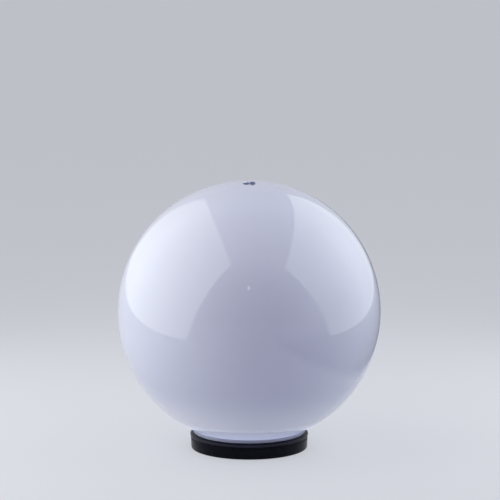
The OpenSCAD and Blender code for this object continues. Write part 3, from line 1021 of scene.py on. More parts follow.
def extruded(name: str, outline: Sequence[Point], span: Point, along: Axis) -> Thing:
    """Draws an outline out along an axis.

    Args:
        name: Name of the piece.
        outline: Points in millimetres, in the other two coordinates.
        span: Where the piece starts and ends on the axis.
        along: The axis.

    Returns:
        The closed piece.
    """
    count = len(outline)
    points = []
    for end in sorted(span):
        for a, b in outline:
            spot = [a * MM, b * MM]
            spot.insert(along.value, end * MM)
            points.append(spot)
    faces: list[Sequence[int]] = [range(count), range(2 * count - 1, count - 1, -1)]
    faces += [(i, (i + 1) % count, count + (i + 1) % count, count + i) for i in range(count)]
    return closed(name, points, faces)


def box(name: str, x: Point, y: Point, z: Point, fillet: float = 0.0, along: Axis = Axis.Z) -> Thing:
    """A block, with its edges along one axis rounded.

    Args:
        name: Name of the piece.
        x: Its ends on X in millimetres.
        y: Its ends on Y.
        z: Its ends on Z.
        fillet: Radius of the rounding.
        along: The axis.

    Returns:
        The block.
    """
    spans = [x, y, z]
    span = spans.pop(along.value)
    line = Outline([(*corner, fillet) for corner in rectangle(*zip(*spans))])
    return extruded(name, line.rounded(), span, along)


def rod(name: str, a: float, b: float, radius: float, span: Point, along: Axis = Axis.Z,
        sides: int = 48) -> Thing:
    """A round or regular rod, given by its place in the two coordinates across it and its ends along it."""
    return extruded(name, circle(a, b, radius, sides), span, along)


def ribbon(path: Sequence[Triple], thickness: float) -> list[Point]:
    """The edge of a bent strip.

    Args:
        path: Corners of its middle line, each with the radius of its bend.
        thickness: Thickness of the strip.

    Returns:
        The closed outline.
    """
    line = Outline(list(path)).rounded(6)
    left, right = [], []
    for i, here in enumerate(line):
        before, after = Vector(line[max(i - 1, 0)]), Vector(line[min(i + 1, len(line) - 1)])
        ahead = (after - before).normalized()
        bend = 1.0
        if 0 < i < len(line) - 1:
            bend = max(0.5, ahead.dot((after - Vector(here)).normalized()))
        reach = thickness / 2 / bend
        left.append((here[0] - ahead.y * reach, here[1] + ahead.x * reach))
        right.append((here[0] + ahead.y * reach, here[1] - ahead.x * reach))
    return left + right[::-1]


def spin(angle: float, about: Axis = Axis.Z) -> Matrix:
    """A turn about a main axis, in degrees."""
    return Matrix.Rotation(math.radians(angle), 4, about.name)


def shift(x: float, y: float = 0.0, z: float = 0.0) -> Matrix:
    """A move along the axes, in millimetres."""
    return Matrix.Translation((x * MM, y * MM, z * MM))


def placed(thing: Thing, *moves: Matrix) -> Thing:
    """Moves a piece's mesh step by step, so that its object stays at the origin.

    Args:
        thing: The piece.
        moves: The moves.

    Returns:
        The piece.
    """
    for move in moves:
        thing.data.transform(move)
    return thing


def settle(thing: Thing) -> Thing:
    """Turns what a piece's modifiers make into its plain mesh.

    Args:
        thing: The piece.

    Returns:
        The piece, with no modifiers.
    """
    bpy.context.view_layer.update()
    shown = thing.evaluated_get(bpy.context.evaluated_depsgraph_get())
    old, thing.data = thing.data, bpy.data.meshes.new_from_object(shown)
    thing.modifiers.clear()
    bpy.data.meshes.remove(old)
    return thing


def carve(thing: Thing, *tools: Thing, how: Cut = Cut.AWAY) -> Thing:
    """Cuts a piece with tools or adds them to it.

    Args:
        thing: The piece.
        tools: Closed meshes, which are removed.
        how: What is done.

    Returns:
        The piece.
    """
    for tool in tools:
        step = thing.modifiers.new(tool.name, "BOOLEAN")
        step.operation = how.value
        step.solver = "MANIFOLD"
        step.object = tool
        settle(thing)
        bpy.data.objects.remove(tool)
    return thing


def soften(thing: Thing, width: float) -> Thing:
    """Rounds the sharp edges of a piece.

    Args:
        thing: The piece.
        width: Width of the rounding in millimetres.

    Returns:
        The piece.
    """
    step = thing.modifiers.new("edges", "BEVEL")
    step.width = width * MM
    step.segments = 2
    step.limit_method = "ANGLE"
    step.angle_limit = math.radians(SOFT_ANGLE)
    step.use_clamp_overlap = True
    return settle(thing)


class Recipe(Graph):
    """A Geometry Nodes tree with named inputs, which ends in Realize Instances and Set Material."""

    def __init__(self, name: str) -> None:
        """Starts the tree.

        Args:
            name: Name of the tree.
        """
        super().__init__(bpy.data.node_groups.new(name, "GeometryNodeTree"))
        self.tree.interface.new_socket("Geometry", in_out="INPUT", socket_type="NodeSocketGeometry")
        self.tree.interface.new_socket("Geometry", in_out="OUTPUT", socket_type="NodeSocketGeometry")
        self.tree.interface.new_socket("Finish", in_out="INPUT", socket_type="NodeSocketMaterial")
        self.units: dict[str, float] = {}
        self.inlet = self.node("NodeGroupInput")

    def given(self, name: str) -> Sock:
        """One of the recipe's inputs, as a socket inside the tree."""
        return Sock(self, self.inlet.outputs[name])

    def size(self, name: str, unit: float = MM, kind: str = "NodeSocketFloat") -> Sock:
        """Adds a named input.

        Args:
            name: Name of the input.
            unit: What its values are multiplied by when the recipe is used.
            kind: Its socket type.

        Returns:
            The input as a socket inside the tree.
        """
        self.tree.interface.new_socket(name, in_out="INPUT", socket_type=kind)
        self.units[name] = unit
        return self.given(name)

    def end(self, geometry: Sock) -> "Recipe":
        """Ends the tree.

        Args:
            geometry: The result.

        Returns:
            The recipe.
        """
        whole = self.out("GeometryNodeRealizeInstances", inputs={0: geometry})
        coated = self.out("GeometryNodeSetMaterial", inputs={
            "Geometry": whole, "Material": self.given("Finish")})
        self.node("NodeGroupOutput", inputs={0: coated})
        return self

    def use(self, thing: Thing, finish: Finish, **sizes: float) -> Thing:
        """Applies the recipe to a piece's mesh.

        Args:
            thing: The piece.
            finish: Its finish.
            sizes: Values by the input's name.

        Returns:
            The piece, with a plain mesh.
        """
        modifier = thing.modifiers.new(self.tree.name, "NODES")
        modifier.node_group = self.tree
        values: dict[str, Any] = {name: value * self.units[name] for name, value in sizes.items()}
        values["Finish"] = finish.material()
        for item in self.tree.interface.items_tree:
            if item.in_out == "INPUT" and item.name in values:
                modifier[item.identifier] = values[item.name]
        return settle(thing)


def thread_recipe() -> Recipe:
    """A right-handed thread pressed into the wall of a turned piece, with its sizes in millimetres.

    The wall between the radii Inner and Outer moves in or out by Depth along a helix of one Pitch, between
    the heights Low and High, with Fade for its run-out. Crest is the share of the pitch that a ridge takes.

    Returns:
        The recipe.
    """
    tree = Recipe("thread")
    names = ("Pitch", "Depth", "Low", "High", "Fade", "Inner", "Outer")
    pitch, depth, low, high, fade, inner, outer = [tree.size(name) for name in names]
    crest = tree.size("Crest", unit=1.0)
    x, y, z = tree.parts(tree.out("GeometryNodeInputPosition"))
    radius = (x * x + y * y).math("SQRT")
    turn = y.math("ARCTAN2", x) / math.tau
    ridge = ((z / pitch - turn).math("FRACT") - 0.5).math("ABSOLUTE") * -2.0 + 1.0
    slope = ridge.ramp(1.0 - crest * 1.6, 1.0 - crest * 0.5)
    height = depth * slope * z.ramp(low, low + fade) * z.ramp(high - fade, high, 1.0, 0.0)
    share = (radius + height) / radius
    in_wall = radius.math("GREATER_THAN", inner) * radius.math("LESS_THAN", outer)
    place = tree.out("ShaderNodeCombineXYZ", inputs={0: x * share, 1: y * share, 2: z})
    return tree.end(tree.out("GeometryNodeSetPosition", inputs={
        "Geometry": tree.given("Geometry"), "Selection": in_wall, "Position": place}))


def ring_recipe() -> Recipe:
    """Copies of a piece at equal steps round the Z axis.

    Returns:
        The recipe, with the input Count.
    """
    tree = Recipe("ring_of_copies")
    count = tree.size("Count", 1, "NodeSocketInt")
    spots = tree.out("GeometryNodeMeshLine", settings={"mode": "OFFSET"}, inputs={
        "Count": count, "Offset": (0.0, 0.0, 0.0)})
    angle = tree.out("GeometryNodeInputIndex") * math.tau / count
    turns = tree.out("ShaderNodeCombineXYZ", inputs={2: angle})
    return tree.end(tree.out("GeometryNodeInstanceOnPoints", inputs={
        "Points": spots, "Instance": tree.given("Geometry"), "Rotation": turns}))


@dataclass
class Assembly:
    """What the sub-assemblies share: the recipes, and the way in which a piece is dressed and seated.

    Attributes:
        threads: Recipe of the threads.
        copies: Recipe of the rings of copies.
    """

    threads: Recipe
    copies: Recipe

    def seat(self, thing: Thing, finish: Finish, node: str, body: Body = Body.BASE, count: int = 1) -> None:
        """Dresses a piece and lets it ride on its body in place of its solids.

        Args:
            thing: The piece.
            finish: Its finish.
            node: The solid that it stands for, or helps to.
            body: The body that it rides on.
            count: Number of copies of it round the axis.
        """
        if count > 1:
            self.copies.use(thing, finish, Count=count)
        thing.data.materials.clear()
        thing.data.materials.append(finish.material())
        thing.data.shade_smooth()
        thing.data.set_sharp_from_angle(angle=math.radians(SHARP_ANGLE))
        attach(thing, body.value)
        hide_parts(node)
        LOG.info("%s: %d faces on %s, %s", thing.name, len(thing.data.polygons), body.value, finish.slot)


@dataclass(frozen=True)
class Screw:
    """A screw with a domed head that stands on z = 0, with its shank below. Sizes in millimetres.

    Attributes:
        head: Radius of the head.
        rise: Height of the head.
        shank: Radius over the thread.
        length: Length of the shank.
        pitch: Pitch of the thread.
        tip: Length of the pointed or chamfered end.
        drive: Recess in the head.
    """

    head: float
    rise: float
    shank: float
    length: float
    pitch: float
    tip: float = 0.5
    drive: Drive = Drive.SLOT

    def build(self, threads: Recipe, name: str, finish: Finish) -> Thing:
        """Makes the screw.

        Args:
            threads: Recipe of the threads.
            name: Name of the piece.
            finish: Its finish.

        Returns:
            The screw.
        """
        core = self.shank * 0.84
        line = Outline().to(0.0, self.rise).to(self.head * 0.55, self.rise * 0.97, 0.3)
        line.to(self.head, self.rise * 0.45, self.rise * 0.35).to(self.head, 0.0, 0.12)
        line.to(core, 0.0, 0.1).run(core, self.tip - self.length, self.pitch / 6)
        line.to(core * 0.55, -self.length, 0.05).to(0.0, -self.length)
        screw = line.turned(name, 40, 3)
        threads.use(screw, finish, Pitch=self.pitch, Depth=self.shank - core, Low=-self.length, High=-0.3,
                    Fade=0.5, Inner=core - 0.02, Outer=core + 0.02, Crest=CUT_CREST)
        slots, width, reach = (self.drive.value[0], *(self.head * share for share in self.drive.value[1:]))
        for k in range(slots):
            tool = box("slot", (-reach, reach), (-width / 2, width / 2), (self.rise * 0.5, self.rise * 2))
            carve(screw, placed(tool, spin(90.0 * k)))
        return screw


@dataclass
class Globe(Assembly):
    """The opal globe with its neck, and the soft ring on the rim under it. Sizes in millimetres.

    Attributes:
        radius: Outer radius of the globe.
        wall: Its wall.
        centre: Height of its centre.
        neck: Outer radius of the neck.
        neck_in: Inner radius of the neck.
        neck_end: Height of the neck's end.
        fillet: Radius between globe and neck.
        seal_at: Radius, height and section radius of the groove for the ring in the neck.
        gate: Radius of the gate recess, and its depth below the pole.
        pip: Radius of the torn pip in it.
        thread: Pitch of the neck's thread, how far it stands out, and the heights between which it runs.
        gasket: Inner and outer radius of the soft ring, and height of its underside.
    """

    radius: float = 100.0
    wall: float = 2.5
    centre: float = 105.8
    neck: float = 38.0
    neck_in: float = 35.0
    neck_end: float = 3.8
    fillet: float = 1.0
    seal_at: Triple = (38.1, 6.4, 1.2)
    gate: Point = (4.75, 0.6)
    pip: float = 1.6
    thread: tuple[float, float, float, float] = (4.0, 1.8, 7.8, 12.5)
    gasket: Triple = (40.1, 42.6, 12.6)

    def section(self) -> Outline:
        """Draws the globe from the pip on its top down the outside and up the inside.

        Returns:
            The section.
        """
        top = self.centre + self.radius
        gate, depth = self.gate
        floor = top - depth
        line = Outline().to(0.0, top - 0.14).to(self.pip * 0.6, top - 0.17, 0.1)
        line.to(self.pip, floor + 0.22, 0.1).to(self.pip + 0.35, floor, 0.15)
        line.run(gate - 0.5, floor, 0.3).to(gate - 0.1, top - 0.25, 0.1)
        foot_r = self.neck + self.fillet
        foot_z = self.centre - math.sqrt((self.radius + self.fillet) ** 2 - foot_r ** 2)
        rim = math.degrees(math.acos(gate / self.radius))
        touch = math.degrees(math.atan2(foot_z - self.centre, foot_r))
        line.arc(0.0, self.centre, self.radius, rim, touch, 132)
        line.arc(foot_r, foot_z, self.fillet, 180.0 + touch, 180.0, 6)
        seal_r, seal_z, groove = self.seal_at
        mouth = math.degrees(math.acos((self.neck - seal_r) / groove))
        line.run(self.neck, seal_z + groove + 0.1, 0.3).arc(seal_r, seal_z, groove, mouth, 360.0 - mouth, 12)
        line.to(self.neck, self.neck_end, 0.5).to(self.neck_in, self.neck_end, 0.8)
        inner = self.radius - self.wall
        meet = math.degrees(math.acos(self.neck_in / inner))
        line.run(self.neck_in, self.centre - inner * math.sin(math.radians(meet)), 2.0)
        return line.arc(0.0, self.centre, inner, -meet, 90.0, 96)

    def tear(self, thing: Thing) -> None:
        """Roughens the gate recess, where the sprue was broken off.

        Args:
            thing: The globe.
        """
        top = (self.centre + self.radius) * MM
        for point in thing.data.vertices:
            away = math.hypot(point.co.x, point.co.y) / (self.gate[0] * MM)
            if away < 0.95 and point.co.z > top - 1.5 * MM:
                lump = noise.noise(Vector((point.co.x, point.co.y, 0.0)) * 900.0)
                point.co.z += (lump - 0.35) * 0.35 * MM * (1.0 - away)

    def build_globe(self) -> None:
        """Makes the globe."""
        thing = self.section().turned("globe_shell", 256)
        self.tear(thing)
        pitch, depth, low, high = self.thread
        self.threads.use(thing, OPAL, Pitch=pitch, Depth=depth, Low=low, High=high, Fade=0.8,
                         Inner=self.neck - 0.01, Outer=self.neck + 0.01, Crest=0.28)
        self.seat(thing, OPAL, "globe", Body.GLOBE)

    def build_rim_gasket(self) -> None:
        """Makes the soft ring, whose top follows the globe."""
        inner, outer, low = self.gasket
        tops = [self.centre - math.sqrt((self.radius + 0.12) ** 2 - r ** 2) for r in (inner, outer)]
        line = Outline().to(inner, low, 0.2).to(outer, low, 0.3).to(outer + 0.03, (low + tops[1]) / 2, 1.0)
        line.to(outer, tops[1], 0.35).to(inner, tops[0], 0.2)
        self.seat(line.turned("rim_gasket_ring", 192), SILICONE, "rim_gasket", Body.RIM_GASKET)

    def build_seal(self) -> None:
        """Makes the rubber ring in the neck's groove, with the fine flash of its mould."""
        radius, height, groove = self.seal_at
        cord = groove - 0.1
        line = Outline()
        for start in (10.0, 190.0):
            line.arc(radius, height, cord - 0.02, start, start + 160.0, 14)
            line.arc(radius, height, cord, start + 168.0, start + 172.0, 1)
        self.seat(line.turned("neck_seal_ring", 160), RUBBER, "neck_seal", Body.NECK_SEAL)

    def build(self) -> None:
        """Makes the globe, its soft ring and its seal."""
        self.build_globe()
        self.build_rim_gasket()
        self.build_seal()


@dataclass
class Base(Assembly):
    """The black base with its foot gasket and grommet. Sizes in millimetres.

    Attributes:
        floor: Lower and upper face of the floor.
        cable_hole: Radius of the hole for the cable.
        ring: Inner and outer radius of the threaded ring.
        thread: Pitch of its thread, the thread's depth, and the heights between which it runs.
        rim: Height of the rim.
        lip: Radius, height and section radius of the rolled lip.
        groove: Radius of the groove's wall, and its height.
        skirt: Inner, foot and top radius of the skirt.
        skirt_foot: Height of the skirt's edge.
        slot_top: Height of the deck's underside.
        rib_count: Number of ribs on the floor and behind the skirt.
        rib_widths: Width of a floor rib and of a skirt rib.
        fixing: Radius of the holes' circle, of a boss, its height, and radius of a hole.
        bracket_boss: Place, radius and height of the bosses under the bracket, and radius of their holes.
        gasket: Inner and outer radius of the foot gasket.
        grommet: Radius of the grommet's bore, neck and lips.
    """

    floor: Point = (1.2, 3.4)
    cable_hole: float = 6.5
    ring: Point = (39.4, 41.4)
    thread: tuple[float, float, float, float] = (4.0, 0.8, 7.6, 20.0)
    rim: float = 12.5
    lip: Triple = (43.2, 10.7, 1.8)
    groove: Point = (44.0, 8.2)
    skirt: Triple = (42.4, 44.2, 44.6)
    skirt_foot: float = 0.4
    slot_top: float = 10.3
    rib_count: int = 12
    rib_widths: Point = (1.6, 1.2)
    fixing: tuple[float, float, float, float] = (28.0, 5.0, 5.0, 2.5)
    bracket_boss: tuple[float, float, float, float] = (29.0, 4.0, 7.5, 1.8)
    gasket: Point = (34.0, 42.2)
    grommet: Triple = (4.2, 6.4, 8.6)

    def section(self) -> Outline:
        """Draws the base: floor, threaded ring, deck, lip and skirt.

        Returns:
            The section.
        """
        low, top = self.floor
        bore, ring_out = self.ring
        lip_r, lip_z, lip = self.lip
        groove_r, groove_z = self.groove
        skirt_in, skirt_low, skirt_high = self.skirt
        under = math.degrees(math.asin((groove_r - lip_r) / lip)) - 90.0
        line = Outline().to(self.cable_hole, low, 0.2).to(ring_out, low, 0.2).to(ring_out, self.slot_top, 0.3)
        line.to(skirt_in, self.slot_top, 0.3).to(skirt_in, self.skirt_foot, 0.3)
        line.to(skirt_low, self.skirt_foot, 0.6).to(skirt_high, groove_z, 0.25).to(groove_r, groove_z, 0.15)
        line.arc(lip_r, lip_z, lip, under, 90.0, 18).to(bore + 0.6, self.rim, 0.1)
        line.run(bore, self.rim - 0.6, 0.3).run(bore, top + 0.4, 0.3)
        return line.to(bore, top, 0.3).to(self.cable_hole, top, 0.2)

    def boss(self, x: float, y: float, radius: float, top: float) -> Thing:
        """A boss on the floor.

        Args:
            x: Its place.
            y: Its place.
            radius: Its radius.
            top: Height of its top.

        Returns:
            The boss.
        """
        foot = self.floor[0] + 0.3
        line = Outline().to(0.0, foot).to(radius, foot).to(radius, top, 0.35).to(0.0, top)
        return placed(line.turned("boss", 48), shift(x, y))

    def build_housing(self) -> None:
        """Makes the base, with its ribs, bosses and holes."""
        low, top = self.floor
        thing = self.section().turned("base_body", 256)
        pitch, depth, thread_low, thread_high = self.thread
        self.threads.use(thing, BLACK_PLASTIC, Pitch=pitch, Depth=depth, Low=thread_low, High=thread_high,
                         Fade=0.8, Inner=self.ring[0] - 0.02, Outer=self.ring[0] + 0.62, Crest=CUT_CREST)
        spans = (((9.5, 34.0), (top - 0.3, top + 1.2)),
                 ((self.ring[1] - 0.3, self.skirt[0] + 0.3), (1.6, self.slot_top + 0.3)))
        for (x, z), width in zip(spans, self.rib_widths):
            rib = soften(box("rib", x, (-width / 2, width / 2), z), 0.15)
            carve(thing, self.copies.use(rib, BLACK_PLASTIC, Count=self.rib_count), how=Cut.ADD)
        circle_r, *fixing = self.fixing
        boss_x, *bracket = self.bracket_boss
        bosses = [(place, low - 1.0, *fixing) for place in thirds(circle_r, 90.0)]
        bosses += [((side * boss_x, 0.0), low + 0.8, *bracket) for side in SIDES]
        for (x, y), bottom, radius, height, hole in bosses:
            carve(thing, self.boss(x, y, radius, height), how=Cut.ADD)
            carve(thing, rod("hole", x, y, hole, (bottom, height + 1.0)))
        self.seat(thing, BLACK_PLASTIC, "base_housing")

    def build_foot_gasket(self) -> None:
        """Makes the flat ring under the base, with shallow grooves in its underside."""
        inner, outer = self.gasket
        top = self.floor[0] - 0.01
        line = Outline().to(outer, 0.0, 0.25).to(outer, top, 0.25).to(inner, top, 0.25).to(inner, 0.0, 0.25)
        for k in range(1, 5):
            middle = inner + (outer - inner) * k / 5
            line.to(middle - 0.45, 0.0, 0.08).to(middle, 0.35, 0.1).to(middle + 0.45, 0.0, 0.08)
        self.seat(line.turned("foot_gasket_ring", 160, 3), RUBBER, "foot_gasket")

    def build_grommet(self) -> None:
        """Makes the grommet in the floor, with a stepped upper lip."""
        low, top = self.floor
        bore, neck, lip = self.grommet
        line = Outline().to(bore, low - 1.0, 0.2).to(lip, low - 1.0, 0.3).to(lip, low - 0.01, 0.1)
        line.to(neck, low - 0.01).to(neck, top + 0.01).to(lip, top + 0.01, 0.1).to(lip, top + 0.4, 0.15)
        line.to(7.6, top + 0.5, 0.1).to(7.5, top + 0.8, 0.1).to(neck, top + 0.9, 0.1)
        line.to(6.0, top + 1.2, 0.2).to(bore, top + 1.2, 0.4)
        self.seat(line.turned("cable_grommet_ring", 96), RUBBER, "cable_grommet")

    def build(self) -> None:
        """Makes the base and its soft parts."""
        self.build_housing()
        self.build_foot_gasket()
        self.build_grommet()


@dataclass
class Holder(Assembly):
    """The porcelain lamp holder on its bracket, with shell, contacts, terminals and screws. In millimetres.

    Attributes:
        foot: Height of the holder's underside.
        cavity: Height of the cavity's floor.
        top: Height of the holder's top.
        drum: Radius of its foot.
        barrel: Radius of its barrel.
        bore: Radius of its cavity.
        slot_z: Height of the floor of its contact slot.
        screw_x: Place of its two screws.
        foot_screw_x: Place of the two screws that hold the bracket.
        contact_y: Place of the contact's screw.
        terminal_z: Height of the terminal screws.
        plate: Inner face of the terminal plates.
        sheet: Thickness of the contact strips.
        clamp: Inner and outer face of the clamp plates, and half their width.
        strip: Thickness, width and half length of the bracket's strip.
        levels: Heights of the middle of the bracket's feet and of its web.
        nut: Lower and upper face of the nuts, and their radius over corners.
    """

    foot: float = 15.2
    cavity: float = 27.0
    top: float = 53.2
    drum: float = 19.0
    barrel: float = 21.0
    bore: float = 14.2
    slot_z: float = 24.1
    screw_x: float = 9.5
    foot_screw_x: float = 29.0
    contact_y: float = 8.0
    terminal_z: float = 21.0
    plate: float = 15.3
    sheet: float = 0.6
    clamp: Triple = (16.5, 16.5 + 0.8, 3.5)
    strip: Triple = (1.2, 16.0, 33.0)
    levels: Point = (8.1, 14.6)
    nut: Triple = (23.8, 26.8, 4.04)

    def build_bracket(self) -> None:
        """Makes the bent strip that carries the holder."""
        thickness, width, reach = self.strip
        foot_z, web_z = self.levels
        half = [(reach + 2.0, foot_z, 0.0), (23.0, foot_z, 1.4), (21.0, web_z, 1.4)]
        path = half + [(-x, z, bend) for x, z, bend in reversed(half)]
        thing = extruded("holder_bracket_strip", ribbon(path, thickness), (-width / 2, width / 2), Axis.Y)
        carve(thing, rod("round_ends", 0.0, 0.0, reach, (0.0, 20.0), sides=192), how=Cut.WITHIN)
        for side in SIDES:
            carve(thing, rod("foot_hole", side * self.foot_screw_x, 0.0, 2.0, (0.0, 12.0)),
                  rod("web_hole", side * self.screw_x, 0.0, 2.2, (12.0, 20.0)))
        self.seat(soften(thing, 0.14), ZINC_STRIP, "holder_bracket")

    def build_body(self) -> None:
        """Makes the porcelain body with its cavity, windows, slots and pockets."""
        line = Outline().to(0.0, self.foot).to(self.drum, self.foot, 0.8).to(self.drum, self.cavity)
        line.arc(self.barrel - 2.0, self.cavity + 2.0, 2.0, -90.0, 0.0, 8)
        for groove in (44.5, 47.0):
            line.to(self.barrel, groove - 0.5, 0.1).to(self.barrel - 0.4, groove, 0.25)
            line.to(self.barrel, groove + 0.5, 0.1)
        line.arc(self.barrel - 2.0, self.top - 2.0, 2.0, 0.0, 90.0, 8)
        line.to(self.bore + 1.0, self.top, 0.4).to(self.bore, self.top - 1.0, 0.4)
        line.to(self.bore, self.cavity, 0.6).to(0.0, self.cavity)
        thing = line.turned("lampholder_porcelain", 160)
        above = self.cavity + 1.0
        carve(thing, box("slot", (-3.0, 3.0), (-13.0, 13.0), (self.slot_z, above)),
              box("run", (-3.0, 3.0), (-16.1, 16.1), (self.slot_z, self.cavity - 0.05)),
              rod("contact_hole", 0.0, self.contact_y, 1.8, (18.5, self.slot_z + 1.0), sides=32))
        for side in SIDES:
            x = side * self.screw_x
            window_y = (side * self.plate, side * 25.0)
            carve(thing, box("window", (-5.5, 5.5), window_y, (17.0, 26.8), 0.8, Axis.Y),
                  rod("screw_hole", 0.0, self.terminal_z, 2.15, (side * 10.8, side * 17.0), Axis.Y, 32),
                  rod("shank_hole", x, 0.0, 2.2, (self.foot - 1.0, 24.0)),
                  rod("pocket", x, 0.0, self.nut[2] + 0.2, (self.nut[0], above), sides=6))
        self.seat(thing, PORCELAIN, "lampholder_body")

    def build_shell(self) -> None:
        """Makes the rolled brass shell, whose thread matches the lamp's cap."""
        inner, outer, top, flange, sheet = 13.4, 13.9, 50.8, 9.5, 0.5
        step = LAMP_PITCH / 12
        line = Outline().to(flange, self.cavity, 0.1).to(outer, self.cavity, 0.3).run(outer, top, step)
        line.run(inner, top, 1.0).run(inner, self.cavity + 1.2, step)
        line.to(inner, self.cavity + sheet, 0.3).to(flange, self.cavity + sheet, 0.1)
        thing = line.turned("screw_shell_brass", 128)
        self.threads.use(thing, SHELL_BRASS, Pitch=LAMP_PITCH, Depth=ROLLED_DEPTH, Low=29.5, High=top - 0.5,
                         Fade=1.2, Inner=inner - 0.1, Outer=outer + 0.1, Crest=ROLLED_CREST)
        self.seat(thing, SHELL_BRASS, "screw_shell")

    def terminal_hole(self, inner: float, outer: float) -> Thing:
        """The tool for a terminal screw's hole through a plate, between two Y."""
        return rod("hole", 0.0, self.terminal_z, 1.95, (inner, outer), Axis.Y, 32)

    def contact(self, name: str, rise: float, path: Sequence[Triple], turn: float = 0.0) -> Thing:
        """Makes a contact strip with its terminal plate.

        Args:
            name: Name of the piece.
            rise: Height at which the strip bends inwards above the plate.
            path: Its middle line from there, in Y and Z, each with the radius of its bend.
            turn: How far it is turned about the holder's axis, in degrees.

        Returns:
            The strip.
        """
        low, high = 17.6, 24.0
        inner, outer = self.plate, self.plate + self.sheet
        middle = self.plate + self.sheet / 2
        edge = ribbon([(middle, low + 2.0, 0.0), (middle, rise, 0.9), *path], self.sheet)
        thing = extruded(name, edge, (-2.5, 2.5), Axis.X)
        carve(thing, box("plate", (-4.0, 4.0), (inner, outer), (low, high), 0.7, Axis.Y), how=Cut.ADD)
        carve(thing, self.terminal_hole(inner - 1.0, inner + 2.0))
        return placed(thing, spin(turn))

    def build_contacts(self) -> None:
        """Makes the two contact strips and the screw between them."""
        path = ((4.6, 24.4, 1.0), (1.6, 29.6, 1.0), (-2.6, 29.6, 0.9), (-3.8, 28.6, 0.0))
        tongue = self.contact("centre_contact_strip", 24.4, path)
        carve(tongue, rod("hole", 0.0, self.contact_y, 1.8, (23.0, 26.0), sides=32))
        self.seat(tongue, BRONZE, "centre_contact")
        strip = self.contact("shell_contact_strip", 26.6, [(10.0, 26.6, 0.0)], 180.0)
        self.seat(strip, BRONZE, "shell_contact")
        screw = Screw(2.45, 1.5, 1.5, 5.5, 0.5).build(self.threads, "contact_screw_brass", TERMINAL_BRASS)
        placed(screw, spin(25.0), shift(0.0, self.contact_y, 24.7))
        self.seat(screw, TERMINAL_BRASS, "contact_screw")

    def build_clamps(self) -> None:
        """Makes the clamp plates over the wires on both sides, with teeth across them."""
        inner, outer, half = self.clamp
        z = self.terminal_z
        plate = box("terminal_clamp_plates", (-half, half), (inner, outer), (z - half, z + half), 0.6, Axis.Y)
        carve(plate, self.terminal_hole(inner - 1, inner + 2))
        for tooth_z in (z - 2.6, z + 2.6):
            carve(plate, rod("tooth", inner, tooth_z, 0.45, (-half + 0.3, half - 0.3), Axis.X, 12))
        self.seat(soften(plate, 0.12), ZINC_SCREW, "terminal_clamps", count=2)

    def build_pairs(self) -> None:
        """Makes the screws of the terminals, the bracket and the holder, and the holder's nuts."""
        pairs = (
            ("terminal_screws", "brass", TERMINAL_BRASS, Screw(3.0, 1.8, 1.75, 5.5, 0.6),
             spin(-90.0, Axis.X) @ spin(35.0), shift(0.0, self.clamp[1], self.terminal_z)),
            ("bracket_screws", "pair", ZINC_SCREW, Screw(3.3, 2.2, 1.6, 6.1, 1.2, 1.2, Drive.CROSS),
             spin(20.0), shift(self.foot_screw_x, 0.0, self.levels[0] + 0.6)),
            ("holder_screws", "pair", ZINC_SCREW, Screw(3.8, 2.6, 2.0, 12.6, 0.7),
             spin(180.0, Axis.X), shift(self.screw_x, 0.0, self.levels[1] - 0.6)),
        )
        for node, kind, finish, screw, *moves in pairs:
            thing = placed(screw.build(self.threads, f"{node}_{kind}", finish), *moves)
            self.seat(thing, finish, node, count=2)
        low, high, across = self.nut
        nut = rod("holder_nuts_pair", 0.0, 0.0, across, (low, high), sides=6)
        chamfer = Outline().to(0.0, low).to(3.5, low).to(across + 0.1, low + 0.4)
        chamfer.to(across + 0.1, high - 0.4).to(3.5, high).to(0.0, high)
        carve(nut, chamfer.turned("chamfer", 72), how=Cut.WITHIN)
        carve(nut, rod("bore", 0.0, 0.0, 2.1, (low - 1.0, high + 1.0)))
        self.seat(placed(nut, shift(self.screw_x)), ZINC_SCREW, "holder_nuts", count=2)

    def build(self) -> None:
        """Makes the holder and all that belongs to it."""
        self.build_bracket()
        self.build_body()
        self.build_shell()
        self.build_contacts()
        self.build_clamps()
        self.build_pairs()


